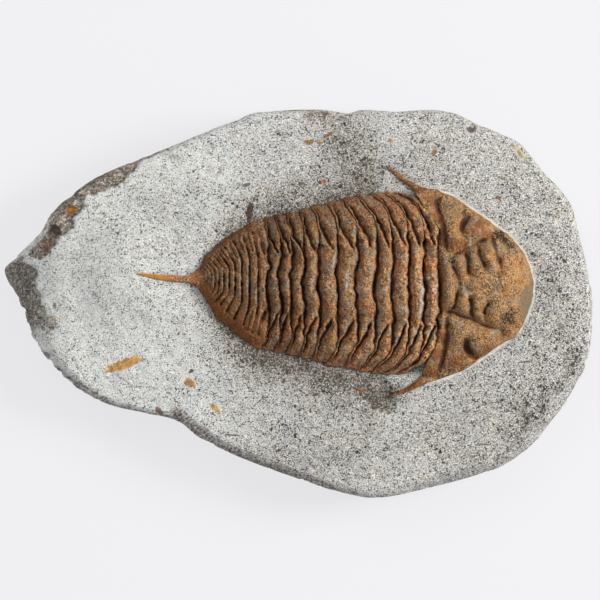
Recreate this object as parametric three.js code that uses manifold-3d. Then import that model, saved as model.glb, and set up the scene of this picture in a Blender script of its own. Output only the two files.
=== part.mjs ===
// A fossil trilobite lying back up on the slab of speckled limestone that it was freed from.
// The shell is the animal's own pieces: a head shield with two cheek spines, eleven jointed
// body rings and a tail shield with one long spine. The rock is cut flat underneath.
// Millimetres, +Z up, +X towards the head, +Y towards the animal's left. The origin is the
// middle of the slab's box, on the surface that it stands on.

import * as THREE from 'three';
import { mergeVertices } from 'three/addons/utils/BufferGeometryUtils.js';
import Module from 'manifold-3d';

// Heights of the slab and of the shell on it
const BED = 17;               // rock surface along the edge of the head shield
const SEAT_DEPTH = 2.2;       // how far the shell reaches down into the rock below BED
const GAP = 0.3;              // clearance between neighbouring pieces
const LIP = 0.15;             // height of the shell's edge above the rock beside it
const SHELL_RISE = 8.8;       // height of the plain arch of the body above its edge
const HEAD_RISE = 8.3;        // height of the plain arch of the head shield
const MOAT_DEPTH = 1.2;       // how far the rock is dug down beside the body
const MOAT_WIDTH = 4.2;       // how far from the shell that digging reaches

// Colours
const ROCK_GREY = 0xb9b7b1;
const SHELL_BROWN = 0x7a5636;
const HEAD_BROWN = 0x94693f;

// Outer edge of the slab, where it is widest, anticlockwise from the end by the head
const SLAB_EDGE = [
  [60.4, 0.8], [59.4, 6.8], [57.6, 14.5], [56.2, 19.8], [53.8, 23.4], [50.8, 26.4],
  [47.8, 30.3], [45.2, 33.0], [41.8, 34.7], [35.9, 37.2], [32.4, 38.9], [27.7, 39.7],
  [19.9, 39.4], [12.9, 39.7], [10.2, 39.1], [4.4, 39.8], [-4.4, 39.5], [-9.6, 39.0],
  [-12.3, 37.7], [-17.0, 36.0], [-26.4, 32.1], [-32.6, 29.7], [-40.8, 26.2], [-44.7, 23.7],
  [-50.4, 18.9], [-53.3, 14.3], [-58.2, 9.4], [-60.4, 6.8], [-57.0, -0.7], [-54.7, -7.0],
  [-51.0, -12.6], [-46.9, -16.4], [-39.4, -20.5], [-31.6, -22.4], [-25.4, -23.8],
  [-20.3, -27.4], [-12.1, -31.4], [2.5, -36.8], [8.6, -38.6], [15.2, -39.8], [23.0, -38.7],
  [38.1, -34.7], [43.5, -32.4], [49.2, -27.7], [55.4, -19.4], [59.0, -12.6], [60.3, -5.6],
];
// How far inside that edge the flat top begins, by the direction from the middle in degrees
const TOP_INSET = [
  [-180, 6.6], [-165, 5.2], [-150, 2.4], [-120, 1.5], [-70, 1.3], [-50, 1.8], [-32, 3.6],
  [-10, 3.4], [10, 2.4], [30, 1.6], [60, 1.1], [115, 1.1], [135, 3.0], [155, 3.6],
  [168, 5.0], [180, 6.6],
];
const WIDEST_HEIGHT = 5.5;    // height at which the slab is widest
const RIM_DROP = 3.4;         // height that the top has lost where it turns down the sides
const FOOT_HEIGHT = 1.6;      // height at which the sides turn in to the base
const FOOT_INSET = 1.6;       // how far the base is drawn in
const ROCK_FALL = 1.9;        // how far the top falls away at ROCK_REACH from the shell's middle
const ROCK_REACH = 45;
const SHELL_MIDDLE = [12, 4];

// The shell seen from above: the line of its back, and its left and right edges, from the
// tip of the tail spine to the widest body ring
const BACK_LINE = [
  [-33.1, 6.1], [-29.3, 5.6], [-26.0, 5.2], [-22.0, 5.05], [-9.8, 4.65], [0.4, 4.0],
  [10.7, 3.7], [29.0, 3.6], [48.2, 3.8],
];
const LEFT_EDGE = [
  [-33.1, 6.2], [-31.6, 6.25], [-28.3, 5.95], [-24.5, 5.8], [-22.4, 5.8], [-21.3, 6.3],
  [-20.3, 7.3], [-19.1, 9.4], [-17.0, 11.5], [-14.8, 13.3], [-10.9, 15.8], [-6.2, 17.7],
  [0.4, 19.2], [7.6, 21.1], [12.7, 22.2], [18.0, 22.9], [22.0, 22.8],
];
const RIGHT_EDGE = [
  [-33.1, 6.0], [-31.6, 5.65], [-28.3, 4.85], [-24.5, 4.4], [-22.4, 4.25], [-21.3, 3.7],
  [-20.3, 2.9], [-18.7, 0.1], [-17.4, -1.9], [-15.6, -3.8], [-11.9, -6.9], [-9.4, -8.5],
  [-4.7, -9.8], [1.4, -11.2], [8.2, -12.9], [13.9, -14.0], [19.3, -14.7], [22.0, -14.5],
];

// Body rings, from the head back, and the rings fused in the tail shield
const HEAD_BACK = 28.7;       // where the first ring starts, along X
const RING_LENGTHS = [2.9, 3.3, 3.5, 3.4, 3.9, 4.0, 3.6, 3.2, 2.6, 2.3, 2.4];
const TAIL_RINGS = 11;
const TAIL_RING_LENGTH = 1.95;  // the first one, and each next is shorter by TAIL_RING_RATIO
const TAIL_RING_RATIO = 0.89;
const TAIL_EDGE_END = -20.3;  // where the edge of the tail shield meets the tail spine
const SPINE_TIP = -33.0;
const SPINE_RISE = [1.5, 0.35];  // height of the tail spine above its edge, at its root and tip
const TAPER_END = -22.4;      // the body's height dwindles towards this place, within TAPER_LENGTH
const TAPER_LENGTH = 11;
const RING_CREST = [0.14, 0.82]; // where a ring's crest lies, as shares of its length
const EDGE_LAG = 0.8;         // how far the ends of every ring lie behind its middle
const FRONT_SWEEP = 6;        // and how much further those of the first one do,
const SWEEP_RINGS = 8;        // which this many rings lose
const RING_BOW = 0.8;         // how far the middles of the rear rings bow forward
const LOBE_SHARE = 0.385;     // half-width of the middle lobe, as a share of the body's
const LOBE_RISE = 1.9;        // how far that lobe stands above the arch
const LOBE_FURROW_DEPTH = 0.45;
const GROOVE_DEPTH = 1.1;     // between two rings
const RIB_FURROW_DEPTH = 0.8; // the slanting furrow on each side of a ring
const TAIL_RELIEF = 0.65;     // depth of the tail shield's grooves, as a share of the rings'

// The head shield's outer edge and its edge towards the body, in pairs from the tip of the
// left cheek spine, round the front, to the tip of the right one
const HEAD_EDGES = [
  [17.2, 28.65, 17.3, 28.45], [20.3, 26.7, 20.1, 25.95], [23.0, 25.1, 22.2, 24.4],
  [25.0, 24.1, 23.6, 23.1], [26.8, 23.6, 24.4, 21.9], [28.8, 23.1, 25.4, 20.4],
  [31.5, 22.0, 26.9, 18.6], [34.4, 20.2, 28.2, 16.6], [37.4, 18.1, 28.95, 14.6],
  [40.4, 16.0, 29.05, 12.4], [43.4, 13.9, 29.05, 10.4], [45.8, 11.0, 29.05, 8.2],
  [47.4, 7.8, 29.05, 6.0], [48.2, 3.9, 29.05, 3.7], [47.9, 0.3, 29.05, 1.3],
  [46.8, -2.8, 29.05, -1.0], [44.8, -6.0, 29.05, -3.2], [41.6, -8.4, 28.95, -5.2],
  [38.2, -10.8, 28.6, -7.2], [35.0, -12.9, 27.9, -9.2], [31.8, -14.5, 27.1, -11.2],
  [28.6, -15.6, 26.2, -13.0], [26.2, -16.35, 25.5, -14.5], [24.3, -17.2, 24.3, -16.0],
  [22.9, -17.85, 22.8, -17.2], [21.3, -18.5, 21.2, -18.1], [19.5, -19.15, 19.6, -18.95],
];
const CHEEK_REACH = [19.3, 18.1];  // half-width of the head's arch at its rear, left and right
const CHEEK_SPINE_RISE = 1.3; // height of a cheek spine above the rock at its root
// The glabella, the swollen part between the cheeks, which widens forward
const GLABELLA_MIDDLE = 4.1;
const GLABELLA_RISE = 1.5;
const GLABELLA_REAR = { x: 30.5, halfWidth: 5.9 };
const GLABELLA_FRONT = { x: 42, halfWidth: 10.3 };
const GLABELLA_FURROW_DEPTH = 0.6;
// Furrows of the head shield as lines on the plan, each with its depth and half-width
const HEAD_FURROWS = [
  { depth: 0.8, half: 0.6, line: [[30.9, 8.8], [32.2, 6.9], [32.6, 4.0], [32.2, 1.1], [31.2, -0.9]] },
  { depth: 1.1, half: 0.6, line: [[34.5, 11.2], [34.7, 7.4]] },
  { depth: 1.1, half: 0.6, line: [[34.7, 1.7], [35.4, -2.6]] },
  { depth: 0.9, half: 0.6, line: [[36.1, 11.9], [38.0, 7.4]] },
  { depth: 0.9, half: 0.6, line: [[38.7, 0.6], [38.0, -3.0]] },
  { depth: 0.7, half: 0.6, line: [[40.0, 13.4], [41.4, 6.4]] },
  { depth: 0.4, half: 0.7, line: [[41.9, -0.6], [42.6, -4.4]] },
  { depth: 0.9, half: 0.7, line: [[27.3, 22.2], [29.3, 17.2], [30.0, 11.4]] },
  { depth: 0.9, half: 0.7, line: [[30.4, -3.8], [30.7, -6.6], [29.3, -13.4]] },
];
// Each eye: the middle of its raised lobe, and the direction of the pit behind it in degrees
const EYES = [
  { x: 37.3, y: 15.2, pitTowards: 165 },
  { x: 37.9, y: -7.7, pitTowards: 212 },
];
const EYE_RADIUS = 2.6;
const EYE_RISE = 1.3;
const PIT_DEPTH = 1.3;

// A number between 0 and 1 that runs smoothly from `from` to `to`
function ramp(from, to, value) {
  return THREE.MathUtils.smoothstep((value - from) / (to - from), 0, 1);
}

// A bell of height 1 and the given half-width
function bell(distance, half) {
  return Math.exp(-((distance / half) ** 2));
}

// Reads a table of [place, value] rows at any place, along a smooth curve through them
function along(table, place) {
  const last = table.length - 1;
  if (place <= table[0][0]) return table[0][1];
  if (place >= table[last][0]) return table[last][1];
  let i = 0;
  while (table[i + 1][0] < place) i += 1;
  const slope = (k) => {
    const a = table[Math.max(k - 1, 0)];
    const b = table[Math.min(k + 1, last)];
    return (b[1] - a[1]) / (b[0] - a[0]);
  };
  const width = table[i + 1][0] - table[i][0];
  const u = (place - table[i][0]) / width;
  const bow = u * (1 - u) * width;
  return table[i][1] * (1 - u) ** 2 * (1 + 2 * u) + table[i + 1][1] * u * u * (3 - 2 * u)
    + bow * (slope(i) * (1 - u) - slope(i + 1) * u);
}

// Distance from a point to a line through several points, on the plan
function distanceToLine(x, y, line) {
  let nearest = Infinity;
  for (let i = 0; i + 1 < line.length; i += 1) {
    const [ax, ay] = line[i];
    const [bx, by] = line[i + 1];
    const length2 = (bx - ax) ** 2 + (by - ay) ** 2;
    const u = THREE.MathUtils.clamp(((x - ax) * (bx - ax) + (y - ay) * (by - ay)) / length2, 0, 1);
    nearest = Math.min(nearest, Math.hypot(x - ax - u * (bx - ax), y - ay - u * (by - ay)));
  }
  return nearest;
}

// Height of the shell's plain arch over its width: 1 on the back line and 0 at the edge
function arch(share) {
  return (1 - Math.min(share, 1) ** 2.6) ** 0.8;
}

// How deep the rock is dug beside the shell at X
function moat(x) {
  return MOAT_DEPTH * ramp(28.5, 21, x) * (1 - 0.75 * ramp(-8, -20, x));
}

// X on the back line where ring `s` begins; s counts rings from the back of the head
const RING_STARTS = [HEAD_BACK];
for (const length of RING_LENGTHS) RING_STARTS.push(RING_STARTS.at(-1) - length);
for (let i = 0; i < TAIL_RINGS; i += 1) {
  RING_STARTS.push(RING_STARTS.at(-1) - TAIL_RING_LENGTH * TAIL_RING_RATIO ** i);
}
const TAIL_START = RING_LENGTHS.length;
const TAIL_END = TAIL_START + TAIL_RINGS;

function ringX(s) {
  const i = Math.min(Math.floor(s), TAIL_END - 1);
  return THREE.MathUtils.lerp(RING_STARTS[i], RING_STARTS[i + 1], s - i);
}

// X where ring boundary `s` reaches the shell's edge: the sides of the rings sweep back, and
// those of the tail shield crowd towards the tail spine
function edgeX(s) {
  const swept = (at) => ringX(at) - EDGE_LAG - FRONT_SWEEP * Math.max(1 - at / SWEEP_RINGS, 0) ** 1.2;
  if (s <= TAIL_START) return swept(s);
  const share = (s - TAIL_START) / TAIL_RINGS;
  return THREE.MathUtils.lerp(swept(TAIL_START), TAIL_EDGE_END, 1 - (1 - share) ** 3);
}

// The point on the plan at ring `s` and share `t` of the half-width, from -1 at the right edge
// to 1 at the left one
function bodyPlan(s, t) {
  const across = Math.abs(t);
  const back = ringX(s);
  const edge = edgeX(s);
  const tail = ramp(TAIL_START - 1, TAIL_START + 2, s);
  const sweep = THREE.MathUtils.lerp(Math.max(2 * across - 1, 0) ** 2, across ** 1.6, tail);
  const bow = RING_BOW * ramp(0, 5, s) * ramp(TAIL_END, TAIL_START, s) * ramp(0, LOBE_SHARE, across);
  const y0 = along(BACK_LINE, back);
  const y1 = along(t > 0 ? LEFT_EDGE : RIGHT_EDGE, edge);
  return [back + bow * (1 - across) - (back - edge) * sweep, THREE.MathUtils.lerp(y0, y1, across)];
}

// Height of the body at ring `s`, share `t`: an arch, a middle lobe, and the relief of a ring,
// which is a groove at each end and a furrow that slants back over each side
function bodyHeight(s, t) {
  const across = Math.abs(t);
  const [x] = bodyPlan(s, t);
  const size = 1 - Math.exp(-(ringX(s) - TAPER_END) / TAPER_LENGTH);
  const lobe = LOBE_RISE * size ** 1.5 * Math.max(1 - (across / LOBE_SHARE) ** 2, 0) ** 0.6;
  const lobeFurrow = LOBE_FURROW_DEPTH * size * bell(across - LOBE_SHARE, 0.045);
  const relief = s <= TAIL_START ? 1 : TAIL_RELIEF * size * ramp(1, 0.8, across);
  const place = s - Math.floor(s);
  const slope = ramp(RING_CREST[0], 0, place) + 0.7 * ramp(RING_CREST[1], 1, place);
  const groove = GROOVE_DEPTH * relief * slope;
  const furrow = RIB_FURROW_DEPTH * relief * bell(place - furrowPlace(across), 0.11)
    * ramp(LOBE_SHARE - 0.02, LOBE_SHARE + 0.05, across) * ramp(0.95, 0.8, across);
  const swell = SHELL_RISE * size * arch(across) + lobe;
  const edgeFade = ramp(1, 0.93, across);
  return BED - moat(x) + LIP + swell - (lobeFurrow + groove + furrow) * edgeFade;
}

// Where the slanting furrow crosses a ring, as a share of the ring's length from its front
function furrowPlace(across) {
  return THREE.MathUtils.clamp(0.24 + 1.3 * (across - 0.37), 0.24, 0.7);
}

// A closed solid under a grid of surface points, each of whose rows lies to the left of the one
// before. Its sides go straight down to `floor`, where strips join the first row to the last
// one and fans close the two ends.
function solidUnder(rows, floor) {
  const last = rows.length - 1;
  const end = rows[0].length - 1;
  const position = rows.flat(2);
  const index = [];
  const top = (r, c) => r * (end + 1) + c;
  for (let r = 0; r < last; r += 1) {
    for (let c = 0; c < end; c += 1) {
      index.push(top(r, c), top(r, c + 1), top(r + 1, c + 1));
      index.push(top(r, c), top(r + 1, c + 1), top(r + 1, c));
    }
  }
  const rim = [
    ...rows[0].map((_, c) => top(0, c)),
    ...rows.slice(1).map((_, r) => top(r + 1, end)),
    ...rows[0].slice(1).map((_, c) => top(last, end - 1 - c)),
    ...rows.slice(2).map((_, r) => top(last - 1 - r, 0)),
  ];
  const count = position.length / 3;
  const below = new Map(rim.map((corner, i) => [corner, count + i]));
  for (const corner of rim) position.push(position[corner * 3], position[corner * 3 + 1], floor);
  rim.forEach((corner, i) => {
    const next = rim[(i + 1) % rim.length];
    index.push(corner, below.get(corner), below.get(next), corner, below.get(next), next);
  });
  const foot = (r, c) => below.get(top(r, c));
  for (let c = 1; c < end - 1; c += 1) {
    index.push(foot(0, c), foot(last, c), foot(last, c + 1));
    index.push(foot(0, c), foot(last, c + 1), foot(0, c + 1));
  }
  const middle = Math.floor(last / 2);
  for (let r = 0; r < last; r += 1) {
    const from = r < middle ? 0 : last;
    index.push(foot(r, 0), foot(r + 1, 0), foot(from, 1));
    index.push(foot(r, end), foot(from, end - 1), foot(r + 1, end));
  }
  index.push(foot(middle, 0), foot(last, 1), foot(0, 1));
  index.push(foot(middle, end), foot(0, end - 1), foot(last, end - 1));
  const geometry = new THREE.BufferGeometry();
  geometry.setAttribute('position', new THREE.Float32BufferAttribute(position, 3));
  geometry.setIndex(index);
  return geometry;
}

const SHELL_FLOOR = BED - SEAT_DEPTH;

// Shares of the half-width at which the rings are sampled, closer together at the furrows
const ACROSS = [0, 0.16, 0.29, 0.37, 0.42, 0.5, 0.6, 0.7, 0.8, 0.89, 0.96, 1];
const ACROSS_BOTH = [...ACROSS.slice(1).reverse().map((t) => -t), ...ACROSS];

// One body ring: its middle grid lines follow the slanting furrow, between the tops of the
// slopes down to the grooves in front and behind
function bodyRing(number) {
  const length = RING_LENGTHS[number - 1];
  const [frontTop, rearTop] = RING_CREST;
  const rows = [0, 1, 2, 3, 4, 5, 6].map((line) => ACROSS_BOTH.map((t) => {
    const furrow = furrowPlace(Math.abs(t));
    const place = [
      GAP / 2 / length,
      frontTop,
      (frontTop + furrow) / 2,
      furrow,
      (furrow + rearTop) / 2,
      rearTop,
      1 - GAP / length,
    ][line];
    const s = number - 1 + place;
    return [...bodyPlan(s, t), bodyHeight(s, t)];
  }));
  return solidUnder(rows, SHELL_FLOOR);
}

// The tail shield, with the long spine that grows from its end
function tailShield() {
  const across = ACROSS_BOTH.filter((_, i) => i % 2 === 0 || i === (ACROSS_BOTH.length - 1) / 2);
  const lines = [];
  for (let ring = 0; ring < TAIL_RINGS; ring += 1) {
    const places = ring < 7 ? [0.05, 0.45, 0.8] : [0.05];
    for (const place of places) {
      const s = TAIL_START + ring + place;
      lines.push(across.map((t) => [...bodyPlan(s, t), bodyHeight(s, t)]));
    }
  }
  for (const share of [0, 0.04, 0.09, 0.16, 0.35, 0.6, 0.82, 1]) {
    const x = THREE.MathUtils.lerp(TAIL_EDGE_END, SPINE_TIP, share);
    const y0 = along(BACK_LINE, x);
    const rise = THREE.MathUtils.lerp(...SPINE_RISE, share ** 0.4);
    lines.push(across.map((t) => {
      const y1 = along(t > 0 ? LEFT_EDGE : RIGHT_EDGE, x);
      const y = THREE.MathUtils.lerp(y0, y1, Math.abs(t));
      return [x, y, BED - moat(x) + LIP + rise * Math.sqrt(1 - t * t)];
    }));
  }
  // The grid's rows run from front to back, from the left edge to the right one
  const rows = across.map((_, i) => lines.map((line) => line[across.length - 1 - i]));
  return solidUnder(rows, SHELL_FLOOR);
}

// Relief of the head shield at a point on the plan: the swollen glabella, its furrows and the
// furrow behind the cheeks, and the two eyes with the pits behind them
function headRelief(x, y) {
  const halfWidth = THREE.MathUtils.mapLinear(
    THREE.MathUtils.clamp(x, GLABELLA_REAR.x, GLABELLA_FRONT.x),
    GLABELLA_REAR.x,
    GLABELLA_FRONT.x,
    GLABELLA_REAR.halfWidth,
    GLABELLA_FRONT.halfWidth,
  );
  const offset = Math.abs(y - GLABELLA_MIDDLE) / halfWidth;
  let height = GLABELLA_RISE * Math.max(1 - offset ** 4, 0) * ramp(48, 40, x);
  height -= GLABELLA_FURROW_DEPTH * bell((offset - 1) * halfWidth, 0.7) * ramp(44, 41, x);
  for (const { depth, half, line } of HEAD_FURROWS) {
    height -= depth * bell(distanceToLine(x, y, line), half);
  }
  for (const eye of EYES) {
    const distance = Math.hypot(x - eye.x, y - eye.y);
    const turn = THREE.MathUtils.degToRad(eye.pitTowards) - Math.atan2(y - eye.y, x - eye.x);
    const behind = Math.max(Math.cos(turn), 0) ** 1.5;
    height += EYE_RISE * ramp(EYE_RADIUS + 0.3, EYE_RADIUS - 0.9, distance);
    height -= PIT_DEPTH * behind * bell(distance - EYE_RADIUS - 0.8, 0.8);
  }
  return height;
}

// The head shield: each line of its grid runs from the edge by the body to the outer edge
function headShield() {
  const edges = [0, 1, 2, 3].map((k) => HEAD_EDGES.map((row, i) => [i, row[k]]));
  const last = HEAD_EDGES.length - 1;
  const middle = last / 2;
  const [steps, lines] = [48, 13];
  const columns = Array.from({ length: steps + 1 }, (_, i) => (last * i) / steps);
  const rows = Array.from({ length: lines + 1 }, (_, r) => columns.map((u) => {
    const v = 1 - (1 - r / lines) ** 1.25;
    const [outerX, outerY, innerX, innerY] = edges.map((table) => along(table, u));
    const x = THREE.MathUtils.lerp(innerX, outerX, v);
    const y = THREE.MathUtils.lerp(innerY, outerY, v);
    const toSpine = Math.abs(u - middle) / middle;
    const reach = CHEEK_REACH[u < middle ? 0 : 1];
    const inner = Math.min(Math.abs(innerY - along(BACK_LINE, innerX)) / reach, 1);
    const dome = arch(THREE.MathUtils.lerp(inner, 1, v));
    const spine = ramp(0.62, 0.78, toSpine) * THREE.MathUtils.lerp(1, 0.3, ramp(0.8, 1, toSpine));
    const ridge = CHEEK_SPINE_RISE * spine * Math.sqrt(Math.max(4 * v * (1 - v), 0));
    const relief = headRelief(x, y) * ramp(1, 0.9, v) * ramp(0.82, 0.7, toSpine);
    const rear = 0.5 * ramp(0.12, 0, v) * ramp(0.82, 0.7, toSpine);
    const ground = BED - moat(x) * (1 - ramp(0.68, 0.84, toSpine)) + LIP;
    return [x, y, ground + HEAD_RISE * dome + relief + ridge - rear];
  }));
  return solidUnder(rows, SHELL_FLOOR);
}

// The slab's outer edge as points at equal steps
function slabEdge(count) {
  const curve = new THREE.CatmullRomCurve3(
    SLAB_EDGE.map(([x, y]) => new THREE.Vector3(x, y, 0)),
    true,
    'centripetal',
  );
  curve.arcLengthDivisions = 1200;
  return curve.getSpacedPoints(count).slice(0, count);
}

// Height of the prepared top of the slab: it falls gently away from the shell, waves a
// little, and is dug down in a moat beside the body. `toShell` is the distance to the shell.
function rockHeight(x, y, toShell) {
  const away = Math.hypot(x - SHELL_MIDDLE[0], y - SHELL_MIDDLE[1]);
  const wave = 0.3 * Math.sin(0.16 * x + 0.9) * Math.cos(0.13 * y - 0.5) + 0.2 * Math.sin(0.3 * y);
  const fall = ROCK_FALL * (away / ROCK_REACH) ** 2 * ramp(5, 30, away);
  return BED - fall + wave * ramp(2, 12, toShell) - moat(x) * bell(toShell, MOAT_WIDTH);
}

// The edge of the body and tail on the plan, from the front of the first ring's right side
function bodyEdge() {
  const count = 44;
  const side = (t) => Array.from({ length: count + 1 }, (_, i) => bodyPlan((TAIL_END * i) / count, t));
  const spine = [-22.4, -26, -30, -33];
  return [
    ...side(-1),
    ...spine.map((x) => [x, along(RIGHT_EDGE, x)]),
    ...spine.slice(0, -1).reverse().map((x) => [x, along(LEFT_EDGE, x)]),
    ...side(1).reverse(),
  ];
}

// The rock: rings of points that run from under the shell over the top, down the sides and
// in across the flat base
function rockSlab() {
  const count = 80;
  const edge = slabEdge(count);
  const shell = [...HEAD_EDGES.map(([x, y]) => [x, y]), ...bodyEdge(), HEAD_EDGES[0].slice(0, 2)];
  const under = (a) => [SHELL_MIDDLE[0] + 29 * Math.cos(a), SHELL_MIDDLE[1] + 14 * Math.sin(a)];
  const position = [];
  const rings = [];
  const addRing = (place) => {
    rings.push(position.length / 3);
    edge.forEach((p, i) => position.push(...place(p, Math.atan2(p.y, p.x), i)));
  };
  const inward = (p, inset) => {
    const share = 1 - inset / Math.hypot(p.x, p.y);
    return [p.x * share, p.y * share];
  };
  const inset = (angle) => along(TOP_INSET, THREE.MathUtils.radToDeg(angle));
  for (const share of [0, 0.16, 0.32, 0.5, 0.7, 0.88, 1]) {
    addRing((p, angle) => {
      const [ux, uy] = under(Math.atan2(p.y * 2, p.x));
      const [ex, ey] = inward(p, inset(angle));
      const x = THREE.MathUtils.lerp(ux, ex, share);
      const y = THREE.MathUtils.lerp(uy, ey, share);
      return [x, y, rockHeight(x, y, distanceToLine(x, y, shell)) - 0.5 * ramp(0.88, 1, share)];
    });
  }
  // The sides: share of the way out to the widest place, share of the height, and roughness
  for (const [share, height, rough] of [[0.45, 0.72, 0.5], [0.9, 0.36, 0.4], [1, 0, 0]]) {
    addRing((p, angle, i) => {
      const chip = rough * (Math.sin(1.7 * i) + Math.sin(0.9 * i + 2)) / 2;
      const [x, y] = inward(p, inset(angle) * (1 - share) + Math.max(chip, 0));
      return [x, y, THREE.MathUtils.lerp(WIDEST_HEIGHT, BED - RIM_DROP, height) + chip];
    });
  }
  addRing((p) => [...inward(p, FOOT_INSET / 4), FOOT_HEIGHT]);
  addRing((p) => [...inward(p, FOOT_INSET), 0]);
  const index = [];
  for (let r = 0; r + 1 < rings.length; r += 1) {
    for (let i = 0; i < count; i += 1) {
      const next = (i + 1) % count;
      const [p, q, u, v] = [rings[r] + i, rings[r] + next, rings[r + 1] + i, rings[r + 1] + next];
      index.push(p, v, q, p, u, v);
    }
  }
  const cap = (first, facingUp) => {
    const outline = Array.from({ length: count }, (_, i) => (
      new THREE.Vector2(position[(first + i) * 3], position[(first + i) * 3 + 1])));
    for (const [a, b, c] of THREE.ShapeUtils.triangulateShape(outline, [])) {
      index.push(first + a, first + (facingUp ? b : c), first + (facingUp ? c : b));
    }
  };
  cap(rings[0], true);
  cap(rings.at(-1), false);
  const geometry = new THREE.BufferGeometry();
  geometry.setAttribute('position', new THREE.Float32BufferAttribute(position, 3));
  geometry.setIndex(index);
  return geometry;
}

const SEAT_CLEARANCE = GAP + 0.05;
const CUTTER_HEIGHT = 40;

// A straight-sided cutter over a plan outline, grown outwards by the clearance
function seatCutter(outline) {
  const points = outline.map(([x, y]) => new THREE.Vector2(x, y));
  if (THREE.ShapeUtils.isClockWise(points)) points.reverse();
  const grown = points.map((p, i) => {
    const before = points.at(i - 1);
    const after = points[(i + 1) % points.length];
    const edgeIn = p.clone().sub(before).normalize();
    const edgeOut = after.clone().sub(p).normalize();
    const normal = new THREE.Vector2(edgeIn.y + edgeOut.y, -edgeIn.x - edgeOut.x).normalize();
    const lean = Math.max(normal.dot(new THREE.Vector2(edgeOut.y, -edgeOut.x)), 0.5);
    return p.clone().addScaledVector(normal, SEAT_CLEARANCE / lean);
  });
  const geometry = new THREE.ExtrudeGeometry(new THREE.Shape(grown), {
    depth: CUTTER_HEIGHT,
    bevelEnabled: false,
  });
  return geometry.translate(0, 0, SHELL_FLOOR - GAP);
}

const wasm = await Module();
wasm.setup();

// A three.js geometry as a manifold-3d solid
function toSolid(geometry) {
  const bare = geometry.clone();
  bare.deleteAttribute('normal');
  bare.deleteAttribute('uv');
  const merged = mergeVertices(bare, 1e-4);
  return new wasm.Manifold(new wasm.Mesh({
    numProp: 3,
    vertProperties: merged.attributes.position.array,
    triVerts: new Uint32Array(merged.index.array),
  }));
}

function toGeometry(solid) {
  const mesh = solid.getMesh();
  const geometry = new THREE.BufferGeometry();
  geometry.setAttribute('position', new THREE.BufferAttribute(mesh.vertProperties, 3));
  geometry.setIndex(new THREE.BufferAttribute(mesh.triVerts, 1));
  return geometry;
}

// The slab with the seat that the shell fills cut into its top
function rockWithSeat() {
  const headOutline = [
    ...HEAD_EDGES.map(([x, y]) => [x, y]),
    ...HEAD_EDGES.map(([, , x, y]) => [x, y]).reverse(),
  ];
  const firstRingFront = ACROSS_BOTH.slice(1, -1).reverse().map((t) => bodyPlan(0, t));
  const rock = toSolid(rockSlab())
    .subtract(toSolid(seatCutter(headOutline)))
    .subtract(toSolid(seatCutter([...bodyEdge(), ...firstRingFront])));
  return toGeometry(rock);
}

function piece(name, geometry, color, roughness) {
  geometry.computeVertexNormals();
  const material = new THREE.MeshStandardMaterial({ color, roughness, metalness: 0, flatShading: true });
  const mesh = new THREE.Mesh(geometry, material);
  mesh.name = name;
  return mesh;
}

const trilobite = new THREE.Group();
trilobite.name = 'trilobite_on_rock';
trilobite.add(piece('rock_matrix', rockWithSeat(), ROCK_GREY, 0.95));
trilobite.add(piece('head_shield', headShield(), HEAD_BROWN, 0.8));
RING_LENGTHS.forEach((_, i) => {
  const name = `body_ring_${String(i + 1).padStart(2, '0')}`;
  trilobite.add(piece(name, bodyRing(i + 1), SHELL_BROWN, 0.8));
});
trilobite.add(piece('tail_shield', tailShield(), SHELL_BROWN, 0.8));

export default trilobite;
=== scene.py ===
# %% [markdown]
# This lesson dresses a fossil trilobite on its slab of limestone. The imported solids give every
# piece its place and size. Each piece is then made again as a fine surface: a function of two
# parameters, worked out with numpy on a grid, that carries the ridges, furrows and grain that
# a faceted solid leaves out. The finishes are node materials that read masks from the meshes.

import bpy
import numpy as np
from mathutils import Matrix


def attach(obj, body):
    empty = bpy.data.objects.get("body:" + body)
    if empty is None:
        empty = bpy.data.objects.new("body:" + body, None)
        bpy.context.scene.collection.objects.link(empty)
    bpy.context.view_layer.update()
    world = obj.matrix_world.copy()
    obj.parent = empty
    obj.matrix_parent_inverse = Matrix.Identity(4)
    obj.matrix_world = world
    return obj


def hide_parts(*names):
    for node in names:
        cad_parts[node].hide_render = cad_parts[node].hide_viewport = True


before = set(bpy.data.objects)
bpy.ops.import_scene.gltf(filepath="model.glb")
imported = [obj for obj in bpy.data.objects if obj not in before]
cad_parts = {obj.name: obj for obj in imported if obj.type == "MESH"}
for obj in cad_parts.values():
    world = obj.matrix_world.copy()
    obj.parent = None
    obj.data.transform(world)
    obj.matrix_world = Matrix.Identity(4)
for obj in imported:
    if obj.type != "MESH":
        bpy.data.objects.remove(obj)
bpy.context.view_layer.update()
MM = 0.001
print("pieces in the frame:", len(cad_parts))

# %% [markdown]
# The camera looks straight down, as if over a copying stand. It stands two metres up with a long
# lens, so the high back of the fossil keeps almost the same scale as the slab's foot. A flat
# view could be had from an orthographic camera too, but a long lens keeps a trace of the depth.
# The floor glows a little, like a light table, so the slab throws next to no shadow on it. A
# strong soft lamp stands to the right, so each ridge of the fossil is bright on its right side
# and dark on its left, and a weak one from above fills the shadows.

# %% Camera, floor and light
CAMERA_HEIGHT = 2.0
PIXELS_PER_MM = 4.879
FRAME_PIXELS = 600
VIEW_CENTRE = (0.41 * MM, 0.76 * MM)
# At this height over the floor a millimetre spans that many pixels
MEASURED_HEIGHT = 14 * MM
FLOOR_REACH = 1.5
FLOOR_GAP = 0.05 * MM
FLOOR_PAINT = (0.10, 0.10, 0.10, 1)
FLOOR_ROUGHNESS = 0.9
FLOOR_GLOW = (0.985, 0.975, 1.0, 1)
FLOOR_GLOW_STRENGTH = 0.74
SKY = (0.95, 0.97, 1.0, 1)
SKY_STRENGTH = 0.50

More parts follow.
